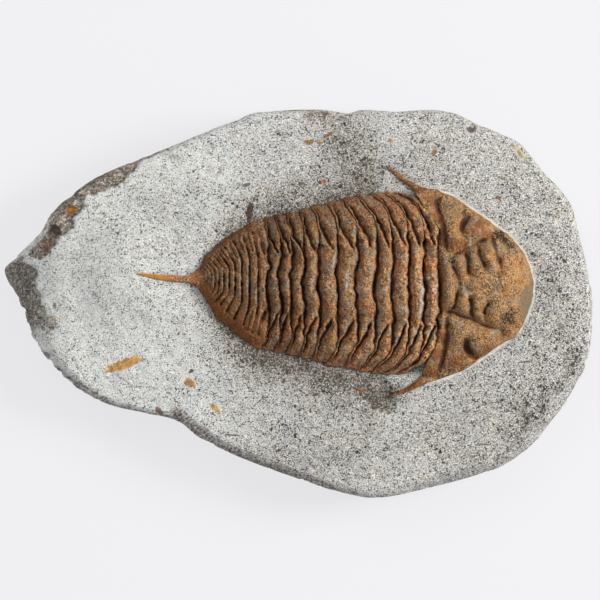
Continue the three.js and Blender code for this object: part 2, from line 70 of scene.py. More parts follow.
scene = bpy.context.scene
scene.view_settings.view_transform = "Standard"
lens = bpy.data.cameras.new("camera")
field = FRAME_PIXELS / PIXELS_PER_MM * MM
lens.lens = lens.sensor_width * (CAMERA_HEIGHT - MEASURED_HEIGHT) / field
lens.clip_end = 10
camera = bpy.data.objects.new("camera", lens)
camera.location = (*VIEW_CENTRE, CAMERA_HEIGHT)
scene.collection.objects.link(camera)
scene.camera = camera


def soft_lamp(name, place, size, power, colour):
    """A square area light at `place` that faces the slab: tilted by the angle between the
    place's direction and straight up, and turned by its direction on the plan."""
    light = bpy.data.lights.new(name, "AREA")
    light.size = size
    light.energy = power
    light.color = colour
    lamp = bpy.data.objects.new(name, light)
    lamp.location = place
    x, y, z = np.array(place) / np.linalg.norm(place)
    lamp.rotation_euler = (np.arccos(z), 0, np.arctan2(y, x) + np.pi / 2)
    scene.collection.objects.link(lamp)


def pale_floor():
    """One large square under the slab, part paint and part glow."""
    signs = ((-1, -1), (1, -1), (1, 1), (-1, 1))
    corners = [(x * FLOOR_REACH, y * FLOOR_REACH, -FLOOR_GAP) for x, y in signs]
    mesh = bpy.data.meshes.new("floor")
    mesh.from_pydata(corners, [], [(0, 1, 2, 3)])
    paint = bpy.data.materials.new("glowing_floor")
    paint.use_nodes = True
    shader = paint.node_tree.nodes["Principled BSDF"]
    shader.inputs["Base Color"].default_value = FLOOR_PAINT
    shader.inputs["Roughness"].default_value = FLOOR_ROUGHNESS
    shader.inputs["Emission Color"].default_value = FLOOR_GLOW
    shader.inputs["Emission Strength"].default_value = FLOOR_GLOW_STRENGTH
    mesh.materials.append(paint)
    floor = bpy.data.objects.new("floor", mesh)
    scene.collection.objects.link(floor)
    return floor


soft_lamp("key", place=(0.70, 0.13, 0.50), size=0.30, power=9.5, colour=(1.0, 0.985, 0.96))
soft_lamp("top", place=(-0.25, 0.45, 0.80), size=0.5, power=2.4, colour=(0.95, 0.98, 1.0))
world = bpy.data.worlds.new("studio")
world.use_nodes = True
background = world.node_tree.nodes["Background"]
background.inputs["Color"].default_value = SKY
background.inputs["Strength"].default_value = SKY_STRENGTH
scene.world = world
pale_floor()
print("lens", round(lens.lens), "mm")

# %% [markdown]
# Rock and shell have no flat faces and no even curves. They could be sculpted by hand, but then
# no number would say where a furrow runs. Every shape below is built instead from a few plain
# functions: a smooth step, a bell, a curve through chosen points, and the distance to a line on
# the plan.

# %% Steps, bells and curves


def smooth(start, end, value):
    """0 before start and 1 after end: 3u^2 - 2u^3 of the share u of the way between them."""
    u = np.clip((value - start) / (end - start), 0, 1)
    return u * u * (3 - 2 * u)


def bell(distance, half):
    """e to the minus (distance / half) squared."""
    return np.exp(-((distance / half) ** 2))


def mix(a, b, share):
    """a at share 0, b at share 1."""
    return a + (b - a) * share


def through(rows, place):
    """A smooth curve through [place, value] rows, flat beyond both ends: a cubic between each
    two rows, whose slope at a row is the slope from the row before it to the row after it."""
    at, value = np.array(rows, float).T
    slope = np.gradient(value, at)
    slope[1:-1] = (value[2:] - value[:-2]) / (at[2:] - at[:-2])
    i = np.clip(np.searchsorted(at, place, side="right") - 1, 0, len(at) - 2)
    width = at[i + 1] - at[i]
    u = np.clip((place - at[i]) / width, 0, 1)
    bow = u * (1 - u) * width * (slope[i] * (1 - u) - slope[i + 1] * u)
    return value[i] * (1 - u) ** 2 * (1 + 2 * u) + value[i + 1] * u * u * (3 - 2 * u) + bow


def to_line(x, y, line):
    """The distance on the plan to a line through points, and the share along it of the
    nearest place: the least over its segments of the distance to each."""
    points = np.array(line, float)
    steps = np.hypot(*np.diff(points, axis=0).T)
    reached = np.concatenate([[0], np.cumsum(steps)]) / steps.sum()
    nearest = np.full(np.shape(x), np.inf)
    share = np.zeros(np.shape(x))
    for (ax, ay), (bx, by), length, done in zip(points, points[1:], steps, reached):
        if length == 0:
            continue
        u = np.clip(((x - ax) * (bx - ax) + (y - ay) * (by - ay)) / length**2, 0, 1)
        distance = np.hypot(x - mix(ax, bx, u), y - mix(ay, by, u))
        closer = distance < nearest
        nearest = np.where(closer, distance, nearest)
        share = np.where(closer, done + u * length / steps.sum(), share)
    return nearest, share


def inside_of(x, y, line):
    """True within a closed line: a ray to the right crosses it an odd number of times."""
    crossed = np.zeros(np.shape(x), bool)
    for (ax, ay), (bx, by) in zip(line, line[1:]):
        if ay != by:
            crossed ^= ((ay > y) != (by > y)) & (x < ax + (y - ay) * (bx - ax) / (by - ay))
    return crossed


def into(x, y, outline):
    """How far inside a closed outline each point lies, in millimetres, negative outside it."""
    closed = np.array([*outline, outline[0]])
    distance, _ = to_line(x, y, closed)
    return np.where(inside_of(x, y, closed), distance, -distance)


print("a smooth step a quarter of the way up:", round(float(smooth(0, 1, 0.25)), 3))

# %% [markdown]
# Stone is uneven at every size, from slow waves to single grains. A Displace modifier with a
# noise texture could roughen a finished mesh, but the same noise is also wanted in outlines,
# depths and masks. So it is one function over whole arrays. It is made from numbers hashed on
# a lattice, so it gives the same grain in every run and joins up across pieces.

# %% Noise
# Large odd numbers that scatter the lattice's coordinates
SCATTER_X, SCATTER_Y, SCATTER_Z, SCATTER_AGAIN = np.array(
    [374761393, 668265263, 1442695041, 1274126177], np.uint32
)
SEED_STEP = 97462
SEED_START = 12345
LATTICE_MIDDLE = 4096.0
OCTAVE_HEIGHT = 0.55


def lattice(i, j, k, seed):
    """A number from -1 to 1 for each lattice point, hashed from its three whole coordinates."""
    mixed = i * SCATTER_X + j * SCATTER_Y + k * SCATTER_Z
    mixed = mixed + np.uint32(seed * SEED_STEP + SEED_START)
    mixed = (mixed ^ (mixed >> np.uint32(13))) * SCATTER_AGAIN
    mixed = mixed ^ (mixed >> np.uint32(16))
    return (mixed & np.uint32(0xFFFF)).astype(float) / 32767.5 - 1


def noise(x, y, z, size, seed):
    """Value noise: the numbers at the eight lattice points round each place, blended by smooth
    steps. `size` is the spacing of the lattice, whose coordinates are moved to stay above 0."""
    whole, part = [], []
    for value in np.broadcast_arrays(x, y, z):
        scaled = value / size + LATTICE_MIDDLE
        floor = np.floor(scaled)
        whole.append(floor.astype(np.uint32))
        part.append((scaled - floor) ** 2 * (3 - 2 * (scaled - floor)))
    total = 0
    for corner in np.ndindex(2, 2, 2):
        value = lattice(*(start + np.uint32(ahead) for start, ahead in zip(whole, corner)), seed)
        near_x, near_y, near_z = (share if ahead else 1 - share for share, ahead in zip(part, corner))
        total = total + value * (near_x * near_y) * near_z
    return total


def rough(x, y, z, size, seed, octaves=3):
    """Noise at `size`, then at half the size and a little over half the height, and so on."""
    return sum(noise(x, y, z, size / 2**n, seed + n) * OCTAVE_HEIGHT**n for n in range(octaves))


print("noise at the origin:", round(float(rough(np.zeros(1), 0.0, 0.0, size=1.0, seed=1)[0]), 3))

# %% [markdown]
# Every piece of the fossil goes down into the rock, so it is a block with a fine top. A sheet
# thickened by Solidify would do for a thin shell, but here the sides have to be plumb and the
# underside flat. So a grid becomes a closed piece in the same way each time: its surface on
# top, walls straight down from its rim, and a floor of long strips from its first row to its
# last. Faces are whole index arrays. Masks for the materials are one number for each vertex.

# %% Grids into meshes


def new_piece(name, points, quads, triangles, masks):
    """A mesh object from vertices in millimetres, quads, triangles and named vertex masks."""
    mesh = bpy.data.meshes.new(name)
    corners = np.concatenate([quads.ravel(), triangles.ravel()]).astype(np.int32)
    sizes = np.repeat([4, 3], [len(quads), len(triangles)]).astype(np.int32)
    starts = np.concatenate([[0], np.cumsum(sizes)[:-1]]).astype(np.int32)
    mesh.vertices.add(len(points))
    mesh.vertices.foreach_set("co", (points * MM).astype(np.float32).ravel())
    mesh.loops.add(len(corners))
    mesh.loops.foreach_set("vertex_index", corners)
    mesh.polygons.add(len(sizes))
    mesh.polygons.foreach_set("loop_start", starts)
    mesh.polygons.foreach_set("use_smooth", np.ones(len(sizes), bool))
    for label, values in masks.items():
        layer = mesh.attributes.new(label, "FLOAT", "POINT")
        layer.data.foreach_set("value", np.asarray(values, np.float32))
    mesh.update()
    mesh.validate()
    piece = bpy.data.objects.new(name, mesh)
    scene.collection.objects.link(piece)
    print(name, len(points), "vertices")
    return piece


def grid_quads(rows, columns):
    """The four corners of each cell of a grid, anticlockwise where rows step to the left."""
    index = np.arange(rows * columns).reshape(rows, columns)
    return np.stack([index[:-1, :-1], index[:-1, 1:], index[1:, 1:], index[1:, :-1]], -1).reshape(-1, 4)


def closed_over(name, grid, floor, masks):
    """A closed piece whose top is `grid`, whose rows each lie to the left of the one before.
    Walls drop from the grid's rim to `floor`. Strips and two fans close it underneath."""
    rows, columns, _ = grid.shape
    index = np.arange(rows * columns).reshape(rows, columns)
    rim = np.concatenate([index[0], index[1:, -1], index[-1, -2::-1], index[-2:0:-1, 0]])
    below = np.zeros(rows * columns, int)
    below[rim] = rows * columns + np.arange(len(rim))
    foot = below[index]
    ahead = np.roll(rim, -1)
    walls = np.stack([rim, below[rim], below[ahead], ahead], -1)
    strips = np.stack([foot[0, 1:-2], foot[-1, 1:-2], foot[-1, 2:-1], foot[0, 2:-1]], -1)
    half = rows // 2
    turn = np.where(np.arange(rows - 1) < half, 0, rows - 1)
    left = np.stack([foot[:-1, 0], foot[1:, 0], foot[turn, 1]], -1)
    right = np.stack([foot[:-1, -1], foot[turn, -2], foot[1:, -1]], -1)
    left_end = [[foot[half, 0], foot[-1, 1], foot[0, 1]]]
    right_end = [[foot[half, -1], foot[0, -2], foot[-1, -2]]]
    top = grid.reshape(-1, 3)
    base = top[rim].copy()
    base[:, 2] = floor
    masks = {label: values.ravel() for label, values in masks.items()}
    masks = {label: np.concatenate([values, values[rim]]) for label, values in masks.items()}
    quads = np.concatenate([grid_quads(rows, columns), walls, strips])
    triangles = np.concatenate([left, right, left_end, right_end])
    return new_piece(name, np.concatenate([top, base]), quads, triangles, masks)


print("cells in a grid of 3 rows and 4 columns:", len(grid_quads(3, 4)))

# %% [markdown]
# Behind the head come eleven jointed rings, then a tail shield of rings that grew together.
# Each could be drawn by itself, but then its edges would have to be fitted to its neighbours.
# Instead one map makes them all, so neighbouring pieces meet along one line. It has two
# numbers: how many rings back from the head a point lies, and its share of the half-width,
# from the right edge to the left. Lines of equal ring number run straight out over the middle
# and then sweep back to the edge.

# %% Plan of the body
# Millimetres: the rock's surface, the shell's edge over it, and the underside of the pieces
BED = 17.0
LIP = 0.15
SHELL_FLOOR = 15.0
# X and Y of points along the middle of the back and along both edges of the body
BACK_LINE = [
    [-33.1, 6.1], [-29.3, 5.6], [-26.0, 5.2], [-22.0, 5.05], [-9.8, 4.65], [0.4, 4.0],
    [10.7, 3.7], [29.0, 3.6], [48.2, 3.8],
]
LEFT_EDGE = [
    [-33.1, 6.2], [-31.6, 6.25], [-28.3, 5.95], [-24.5, 5.8], [-22.4, 5.8], [-21.3, 6.3],
    [-20.3, 7.3], [-19.1, 9.4], [-17.0, 11.5], [-14.8, 13.3], [-10.9, 15.8], [-6.2, 17.7],
    [0.4, 19.2], [7.6, 21.1], [12.7, 22.2], [18.0, 22.9], [22.0, 22.8],
]
RIGHT_EDGE = [
    [-33.1, 6.0], [-31.6, 5.65], [-28.3, 4.85], [-24.5, 4.4], [-22.4, 4.25], [-21.3, 3.7],
    [-20.3, 2.9], [-18.7, 0.1], [-17.4, -1.9], [-15.6, -3.8], [-11.9, -6.9], [-9.4, -8.5],
    [-4.7, -9.8], [1.4, -11.2], [8.2, -12.9], [13.9, -14.0], [19.3, -14.7], [22.0, -14.5],
]
HEAD_BACK = 28.7
RING_LENGTHS = np.array([2.9, 3.3, 3.5, 3.4, 3.9, 4.0, 3.6, 3.2, 2.6, 2.3, 2.4])
TAIL_RINGS = 11
TAIL_RING_LENGTH = 1.95
TAIL_RING_RATIO = 0.89
TAIL_EDGE_END = -20.3
SPINE_TIP = -33.0
EDGE_LAG = 0.8
FRONT_SWEEP = 6.0
SWEEP_RINGS = 8
RING_BOW = 0.85
LOBE_SHARE = 0.385
BODY_SWEEP_POWER = 2.8
TAIL_SWEEP_POWER = 1.6
TAIL_START = len(RING_LENGTHS)
TAIL_END = TAIL_START + TAIL_RINGS
ring_steps = np.concatenate([RING_LENGTHS, TAIL_RING_LENGTH * TAIL_RING_RATIO ** np.arange(TAIL_RINGS)])
ring_starts = HEAD_BACK - np.concatenate([[0], np.cumsum(ring_steps)])


def crowded_shares(count):
    """A row of shares from -1 to 1 that crowd towards both ends: the sine of even angles."""
    return np.sin(np.linspace(-np.pi / 2, np.pi / 2, count))[None, :]


def ring_x(ring):
    """X on the back line: the ring starts, joined by straight lines."""
    return np.interp(ring, np.arange(len(ring_starts)), ring_starts)


def swept_x(ring):
    """X of a ring line at the edge: behind the back line by a lag, and by a sweep that the
    first rings have most of."""
    return ring_x(ring) - EDGE_LAG - FRONT_SWEEP * np.clip(1 - ring / SWEEP_RINGS, 0, 1) ** 1.2


def edge_x(ring):
    """X of a ring line at the edge. In the tail shield the lines crowd towards the spine, as
    one minus the cube of the share that is left."""
    share = np.clip((ring - TAIL_START) / TAIL_RINGS, 0, 1)
    tail = mix(swept_x(np.float64(TAIL_START)), TAIL_EDGE_END, 1 - (1 - share) ** 3)
    return np.where(ring <= TAIL_START, swept_x(ring), tail)


def body_plan(ring, share):
    """X and Y at a ring number and share of the half-width. X falls from the back line to the
    edge by the sweep, and bows forward beside the middle lobe. The sweep is a power of the
    outer half of the share, and in the tail of the whole share. Y goes straight from the back
    line to the edge."""
    across = np.abs(share)
    back = ring_x(ring)
    edge = edge_x(ring)
    in_tail = smooth(TAIL_START - 1, TAIL_START + 2, ring)
    outer_half = np.clip(2 * across - 1, 0, 1)
    sweep = mix(outer_half**BODY_SWEEP_POWER, across**TAIL_SWEEP_POWER, in_tail)
    bow = RING_BOW * smooth(0, 5, ring) * smooth(TAIL_END, TAIL_START, ring)
    bow = bow * smooth(0, LOBE_SHARE, across)
    x = back + bow * (1 - across) - (back - edge) * sweep
    out = np.where(share > 0, through(LEFT_EDGE, edge), through(RIGHT_EDGE, edge))
    y = mix(through(BACK_LINE, back), out, across)
    return x, y


print("rings start at", np.round(ring_starts[: TAIL_START + 1], 1))

# %% [markdown]
# In cross-section the body is one broad arch with a raised middle lobe. Each ring lies on it
# like a cord: round-topped, with a deep groove in front and behind. On the flanks a slanting
# furrow splits the cord into two. Past the bend, the front one sinks to a smooth facet that
# slid under the ring ahead, and the rear one runs out to a blunt tip. All this could be a bump
# in the material, but real depth casts real shadows and holds in every view, so it is worked
# out as height. A little noise in the plan and the height keeps it from looking machined.

# %% Relief of the body
SHELL_RISE = 8.8
LOBE_RISE = 1.9
TAPER_END = -22.4
TAPER_LENGTH = 11.0
MOAT_DEPTH = 1.2
# Shares of the half-width between which the flank begins, and the groove fades on each side
FLANK = (0.44, 0.60)
LEFT_FADE = (0.50, 0.68)
RIGHT_FADE = (0.62, 0.80)
# In millimetres, and of two values the first is on the middle lobe and the second on the flank
FRONT_GROOVE_HALF = 0.42
REAR_GROOVE_HALVES = (0.72, 0.50)
GROOVE_DEPTHS = (1.10, 0.90)
FADED_GROOVE_DEPTH = 0.45
RING_FALLS = (0.60, 0.20)
# The first is on the flank and the second near the edge
FURROW_DEPTHS = (1.45, 0.8)
RIDGE_ROUNDING = 0.38
FACET_DEPTH = 0.30
LOBE_GROOVE_DEPTH = 0.20


def moat(x):
    """How deep the rock is dug beside the shell at X: less beside the head and the tail."""
    return MOAT_DEPTH * smooth(25, 14, x) * smooth(-25, -8, x)


def arch(share):
    """(1 - share^2.6)^0.8: 1 on the back line and 0 at the edge, where it stands steep."""
    return np.clip(1 - np.clip(share, 0, 1) ** 2.6, 0, 1) ** 0.8


def warp(x, y):
    """The plan with each point moved a little by noise: up to 0.7 mm along X and 0.2 along Y,
    and mostly much less."""
    slow = 0.32 * noise(x, y, 0.0, 3.4, 11) + 0.28 * noise(x, y, 0.0, 1.5, 12)
    moved = x + slow + 0.12 * noise(x, y, 0.0, 0.6, 13)
    return moved, y + 0.20 * noise(x, y, 0.0, 2.6, 17)


def shell_grain(x, y):
    """The lumps of the mineral that replaced the shell: noise of four sizes, from 1.7 mm down
    to 0.24 mm, and lower the finer it is."""
    coarse = 0.20 * noise(x, y, 0.0, 1.7, 21) + 0.16 * noise(x, y, 0.0, 0.8, 22)
    return coarse + 0.14 * noise(x, y, 0.0, 0.42, 23) + 0.08 * noise(x, y, 0.0, 0.24, 24)


def valley(distance, half):
    """1 at the bottom of a groove and 0 away from it: e to the minus (distance / half)^1.5."""
    return np.exp(-((np.abs(distance) / half) ** 1.5))


def crown(u):
    """How far a rounded ridge has fallen, over u from 0 at its front to 1 at its rear. The
    crest stands a third of the way along: |2u^0.65 - 1|^2.2."""
    return np.abs(2 * np.clip(u, 0, 1) ** 0.65 - 1) ** 2.2


def ring_relief(place, share, length):
    """The depth under the arch over one ring, and how deep in a groove, how far on the facet
    and how near a crest each point is. `place` runs from 0 at the ring's front to 1 at its
    rear. A ring falls towards its rear, where the groove is gentle, and the next ring's front
    rises steeply out of it. On the flank the groove between rings fades, and the furrow that
    crosses from front to rear takes its place: its line moves back as the share grows."""
    across = np.abs(share)
    flank = smooth(*FLANK, across)
    fading = mix(smooth(*LEFT_FADE, across), smooth(*RIGHT_FADE, across), smooth(0.2, -0.2, share))
    narrowing = mix(1, 0.55, fading)
    front = valley(place * length, FRONT_GROOVE_HALF * narrowing)
    rear = valley((1 - place) * length, mix(*REAR_GROOVE_HALVES, flank) * narrowing)
    deepest = mix(mix(*GROOVE_DEPTHS, flank), FADED_GROOVE_DEPTH, fading)
    fall = mix(*RING_FALLS, flank)
    split = smooth(0.40, 0.46, across) * smooth(0.99, 0.88, across)
    line = np.clip(0.27 + 2.0 * (across - 0.43), 0.18, 0.84)
    width = 0.17 + 0.24 * bell(across - 0.62, 0.18)
    furrow = split * valley((place - line) * length, np.where(place < line, 1.8, 0.8) * width)
    halves = np.where(place < line, crown(place / line), crown((place - line) / (1 - line)))
    ridge = mix(crown(place), halves, split)
    facet = smooth(0.76, 0.90, across) * smooth(0.60, 0.36, place)
    boundary = np.maximum(front, rear)
    depth = ((deepest + fall) * front + deepest * rear) * mix(1, 0.7, facet) + fall * place**1.3
    depth = depth + mix(*FURROW_DEPTHS, smooth(0.72, 0.92, across)) * furrow * (1 - 0.8 * boundary)
    depth = depth + RIDGE_ROUNDING * ridge + FACET_DEPTH * facet
    depth = depth + LOBE_GROOVE_DEPTH * bell(across - LOBE_SHARE, 0.05)
    groove = np.maximum(boundary * mix(1, 0.4, fading), furrow * mix(1, 0.8, smooth(0.8, 0.95, across)))
    crest = smooth(0.35, 0.0, ridge) * (1 - boundary) * (1 - furrow)
    return depth * smooth(1, 0.95, across), smooth(0.35, 0.92, groove), facet, crest


def lobe(across, size):
    """The raised middle lobe: (1 - (across / width)^2)^1.2, a round-topped hump across it."""
    hump = np.clip(1 - (across / (LOBE_SHARE + 0.05)) ** 2, 0, 1) ** 1.2
    return LOBE_RISE * size**1.5 * hump


def body_size(ring):
    """The share of the full height at a ring: it dwindles exponentially towards the tail."""
    return 1 - np.exp(-(ring_x(ring) - TAPER_END) / TAPER_LENGTH)


print("share of the full height where each ring starts:", np.round(body_size(np.arange(TAIL_START)), 2))

# %% [markdown]
# Each ring of the middle body is a jointed piece of its own, so each becomes its own mesh. An
# Array modifier could repeat one ring, but the real ones differ in length, width and wear. So
# a loop calls one function with the ring's number. Chalk was left on them in short streaks.

# %% The eleven rings
ACROSS_STEPS = 340
ALONG_STEPS = 36
RING_SLIT = 0.03
TIP_BULGE = 0.34
FIRST_TONE = 0.87
TONE_STEP = 0.041
FIRST_RUGGEDNESS = 1.9
CHALK = [
    # X and Y of both ends, and half-width, of each chalky streak
    (25.3, 2.9, 25.1, -2.4, 0.5), (26.0, 6.0, 25.7, 3.9, 0.35), (19.2, 5.6, 18.8, 3.6, 0.35),
    (12.5, 3.6, 12.3, 1.2, 0.35), (7.4, 9.3, 6.9, 7.4, 0.45), (10.1, 6.2, 9.9, 3.6, 0.35),
    (11.9, 16.0, 11.6, 14.0, 0.3), (25.9, 18.9, 25.6, 17.2, 0.35), (20.3, -7.2, 19.5, -9.0, 0.25),
    (27.3, -5.0, 26.8, -6.3, 0.3), (3.1, 5.5, 2.9, 3.8, 0.3), (22.6, -3.4, 22.4, -5.4, 0.25),
]


def streaks(x, y, places):
    """1 on short lines and 0 away from them: the greatest of a bell across each line."""
    near = [bell(to_line(x, y, [(ax, ay), (bx, by)])[0], half) for ax, ay, bx, by, half in places]
    return np.max(near, axis=0)


def body_ring(number):
    """One ring of the body, from the slit in front of it to the slit behind it, with rows that
    crowd towards both slits as columns do towards both edges. The first rings are more rugged,
    and sit a little lower for it. Each ring is darker than the one ahead of it, and lighter on
    its right side."""
    length = RING_LENGTHS[number - 1]
    even = (1 - np.cos(np.linspace(0, np.pi, ALONG_STEPS))) / 2
    place = mix(RING_SLIT / length, 1 - RING_SLIT / length, even)[:, None]
    share = crowded_shares(ACROSS_STEPS)
    ring = number - 1 + place
    across = np.abs(share)
    x, y = body_plan(ring, share)
    y = y + np.sign(share) * TIP_BULGE * (bell(place - 0.68, 0.30) - 0.6) * smooth(0.88, 1, across)
    depth, sunk, facet, crest = ring_relief(place, share, length)
    rugged = mix(FIRST_RUGGEDNESS, 1, smooth(0.5, 2.5, ring))
    wear = 1 + 0.45 * rugged * rough(x, y, number * 3.0, 1.4, 31, 2)
    flecks = bell(y - through(BACK_LINE, x), 2.2) * (1 - sunk)
    tone = FIRST_TONE - TONE_STEP * (number - 1) + 0.10 * smooth(0, 0.8, -share)
    tone = tone - 0.07 * smooth(0.3, 0.8, share) + 0 * place
    x, y = warp(x, y)
    size = body_size(ring)
    z = BED - moat(x) + LIP + SHELL_RISE * size * arch(across) + lobe(across, size) - depth * wear
    z = z + shell_grain(x, y) * rugged * mix(1, 0.4, np.maximum(facet, smooth(0.9, 1, across)))
    z = z - 0.5 * (rugged - 1)
    masks = {
        # sunk: where the finish paints the grooves dark brown, iron oxide and painted shade together
        "sunk": sunk,
        "facet": facet,
        "flecks": flecks,
        "tone": tone,
        # ridge: wear on the crests, and a painted highlight on them
        "ridge": crest * (1 - 0.8 * facet) * smooth(1, 0.88, across),
        "outer": smooth(0.80, 0.97, across) * smooth(0.4, 0.6, place),
        "pale": streaks(x, y, CHALK),
    }
    return closed_over(f"ring_{number:02d}", np.stack([x, y, z], -1), SHELL_FLOOR, masks)


rings = [body_ring(number) for number in range(1, TAIL_START + 1)]

# %% [markdown]
# In the tail shield the rings grew together: the ribs are finer and shallower, a smooth rolled
# border runs round them, and one long spine grows out of the border. Shield and spine could be
# two pieces pushed into each other, but the animal has no seam there. So they are one surface:
# it uses the map of the body, and the spine's cross-sections carry on where the last ring
# line ends.

# %% Ribs of the tail
TAIL_LOBE_SHARES = (0.40, 0.28)
RIB_SLOPES = (0.25, 1.0)
RIB_TRIES = 8
RIB_SHIFT = 0.15
RIB_CORNER = 0.15
BORDER_WIDTHS = (2.2, 1.25)
TAIL_GROOVE_HALVES = (0.22, 0.38)
TAIL_GROOVE_DEPTH = 0.78
TAIL_FURROW_DEPTH = 0.5
LAST_SPLIT_RIBS = (15, 19)


def half_width(x):
    """Half the body's width at X."""
    return (through(LEFT_EDGE, x) - through(RIGHT_EDGE, x)) / 2


def rib_number(x, y, ring, behind):
    """The ring whose rib passes through a place. Over the middle lobe it depends on X alone.
    Beyond it the ribs run straight out and back, the rear ones more aslant: X is the rib's X
    on the lobe less its slope times the distance beyond the lobe. That is solved for the X on
    the lobe by tries that each go half the way, and the distance is rounded off like a soft
    corner."""
    root = x
    for _ in range(RIB_TRIES):
        lobe_half = mix(*TAIL_LOBE_SHARES, smooth(-10.5, -14, root)) * half_width(root)
        over = np.abs(y - through(BACK_LINE, root)) - lobe_half
        beyond = (over + np.sqrt(over**2 + RIB_CORNER)) / 2
        root = (root + x + mix(*RIB_SLOPES, smooth(-8, -18, root)) * beyond) / 2
    number = np.interp(RIB_SHIFT - root, -ring_starts, np.arange(len(ring_starts)))
    return mix(ring, number, smooth(0.4, 3.0, behind)), beyond


def tail_relief(x, y, share, ring):
    """The depth under the arch over the tail: a ridge for each ring over the middle lobe and
    a lower rib beside it, with a smooth border round them. A fine furrow splits the first
    ribs, more of them on the left. At its front it is shaped like one more ring. Also how
    deep in a groove each point is, and whether it is on the border."""
    across = np.abs(share)
    behind = body_plan(np.float64(TAIL_START), share)[0] - x
    rib, beyond = rib_number(x, y, ring, behind)
    place = rib - np.floor(rib)
    length = np.interp(rib, np.arange(len(ring_steps)) + 0.5, ring_steps)
    to_edge = np.minimum(to_line(x, y, LEFT_EDGE)[0], to_line(x, y, RIGHT_EDGE)[0])
    border_width = mix(*BORDER_WIDTHS, smooth(-0.2, 0.2, share))
    inside = smooth(0.75, 1.25, to_edge / border_width + 0.35 * rough(x, y, 0.0, 1.4, 43, 2))
    uneven = (1 + 0.6 * rough(x, y, 0.0, 1.0, 45, 2)) * mix(0.45, 1, smooth(20.5, 15, rib))
    front_half, rear_half = TAIL_GROOVE_HALVES
    groove = np.maximum(valley(place * length, front_half), valley((1 - place) * length, rear_half))
    groove = groove * inside * mix(1, 0.75, smooth(0.5, 2.5, beyond)) * uneven
    last_split = mix(*LAST_SPLIT_RIBS, smooth(-0.1, 0.1, share))
    furrow = valley((place - 0.45) * length, 0.18) * smooth(0.4, 1.2, beyond) * inside
    furrow = furrow * smooth(0, -3, rib - last_split)
    depth = TAIL_GROOVE_DEPTH * groove * np.clip(length / 1.9, 0.5, 1) + TAIL_FURROW_DEPTH * furrow
    depth = depth + (0.35 * crown(place) + 0.2 * place) * inside
    depth = depth + 0.15 * bell(to_edge - border_width, 0.4)
    sunk = smooth(0.35, 0.95, np.maximum(groove, 0.8 * furrow))
    like_ring, ring_sunk, _, _ = ring_relief(np.clip(ring - TAIL_START, 0, 1), share, TAIL_RING_LENGTH)
    lead = smooth(0.75, 0.35, ring - TAIL_START)
    depth = mix(depth * smooth(1, 0.95, across), 0.85 * like_ring, lead)
    return depth, mix(sunk, ring_sunk, lead), (1 - inside) * (1 - lead)


print("half-width where the tail starts:", round(float(half_width(ring_starts[TAIL_START])), 1), "mm")

# %% The tail shield
TAIL_ROWS = 240
SPINE_ROWS = 60
TAIL_COLUMNS = 300
SPINE_RISES = (1.45, 0.25)
TAIL_TONE = 0.48


def tail_plate(share):
    """The points and masks of the shield: rows along the ring lines, from its front to the
    root of the spine."""
    across = np.abs(share)
    ring = (TAIL_START + TAIL_RINGS * np.linspace(0.002, 0.995, TAIL_ROWS) ** 1.08)[:, None]
    x, y = body_plan(ring, share)
    size = body_size(ring)
    wear = 1 + 0.35 * rough(x, y, 0.0, 1.1, 41, 2)
    x, y = warp(x, y)
    depth, sunk, border = tail_relief(x, y, share + 0 * ring, ring + 0 * share)
    z = BED - moat(x) + LIP + SHELL_RISE * size * arch(across) + lobe(across, size) - depth * wear
    right_side = 0.6 * smooth(-0.2, -0.9, share) * (1 - border)
    masks = {
        # sunk: where the finish paints the grooves dark brown, iron oxide and painted shade together
        "sunk": sunk,
        "outer": border,
        # ridge: wear on the raised ribs, and a painted highlight on them
        "ridge": smooth(0.35, 0, sunk) * (1 - border),
        "flecks": 0.9 * bell(share + 0.12, 0.3) * (1 - sunk),
        "bright": 0 * x,
        "rust": border * smooth(1.6, -0.2, share) + right_side,
        "gold": 0.8 * smooth(-0.15, -0.6, share) * (1 - 0.5 * border),
        "tone": TAIL_TONE + 0.10 * smooth(0, 1, -share) + 0 * x,
    }
    return np.stack([x, y, z], -1), masks


def tail_spine(share):
    """The points and masks of the spine: rows across it, closer together at its root, and each
    a half ellipse, sqrt(1 - share^2), that gets lower towards the tip."""
    across = np.abs(share)
    down = np.linspace(0, 1, SPINE_ROWS)[1:, None] ** 1.3
    x = mix(TAIL_EDGE_END, SPINE_TIP, down) + 0 * share
    edge = np.where(share > 0, through(LEFT_EDGE, x), through(RIGHT_EDGE, x))
    y = mix(through(BACK_LINE, x), edge, across)
    rise = mix(*SPINE_RISES, down**0.35) * smooth(1, 0.9, down)
    z = BED - moat(x) + LIP * smooth(1, 0.6, down) + rise * np.sqrt(1 - across**2)
    masks = {label: np.zeros(x.shape) for label in ("sunk", "ridge", "flecks", "rust", "gold")}
    masks["outer"] = np.full(x.shape, 0.8)
    masks["tone"] = np.ones(x.shape)
    masks["bright"] = smooth(-25.6, -27.0, x)
    return np.stack([x, y, z], -1), masks


def tail_shield():
    """The tail as one grid, the shield's rows and then the spine's, turned so that each row
    lies to the left of the one before."""
    share = crowded_shares(TAIL_COLUMNS)
    plate, plate_masks = tail_plate(share)
    spine, spine_masks = tail_spine(share)
    grid = np.vstack([plate, spine])
    fine = mix(0.3, 0.9, smooth(-26, -18, grid[..., 0]))
    grid[..., 2] += shell_grain(grid[..., 0], grid[..., 1]) * fine
    masks = {label: np.vstack([values, spine_masks[label]]) for label, values in plate_masks.items()}
    masks = {label: values[:, ::-1].T for label, values in masks.items()}
    return closed_over("tail_with_spine", grid[:, ::-1].transpose(1, 0, 2), SHELL_FLOOR, masks)


tail = tail_shield()

# %% [markdown]
# The head shield is a crescent that ends in two cheek spines. It could be a dome with spines
# stuck on, but they grow out of the cheeks without a seam. So one grid bends round: one
# parameter runs from the tip of the left spine round the front to the tip of the right one,
# and the other from the edge by the body to the outer edge. The relief is a function of the
# place on the plan: the swollen middle part with its paired furrows, the border furrows, and
# two eyes on raised lobes with a deep pit behind each.

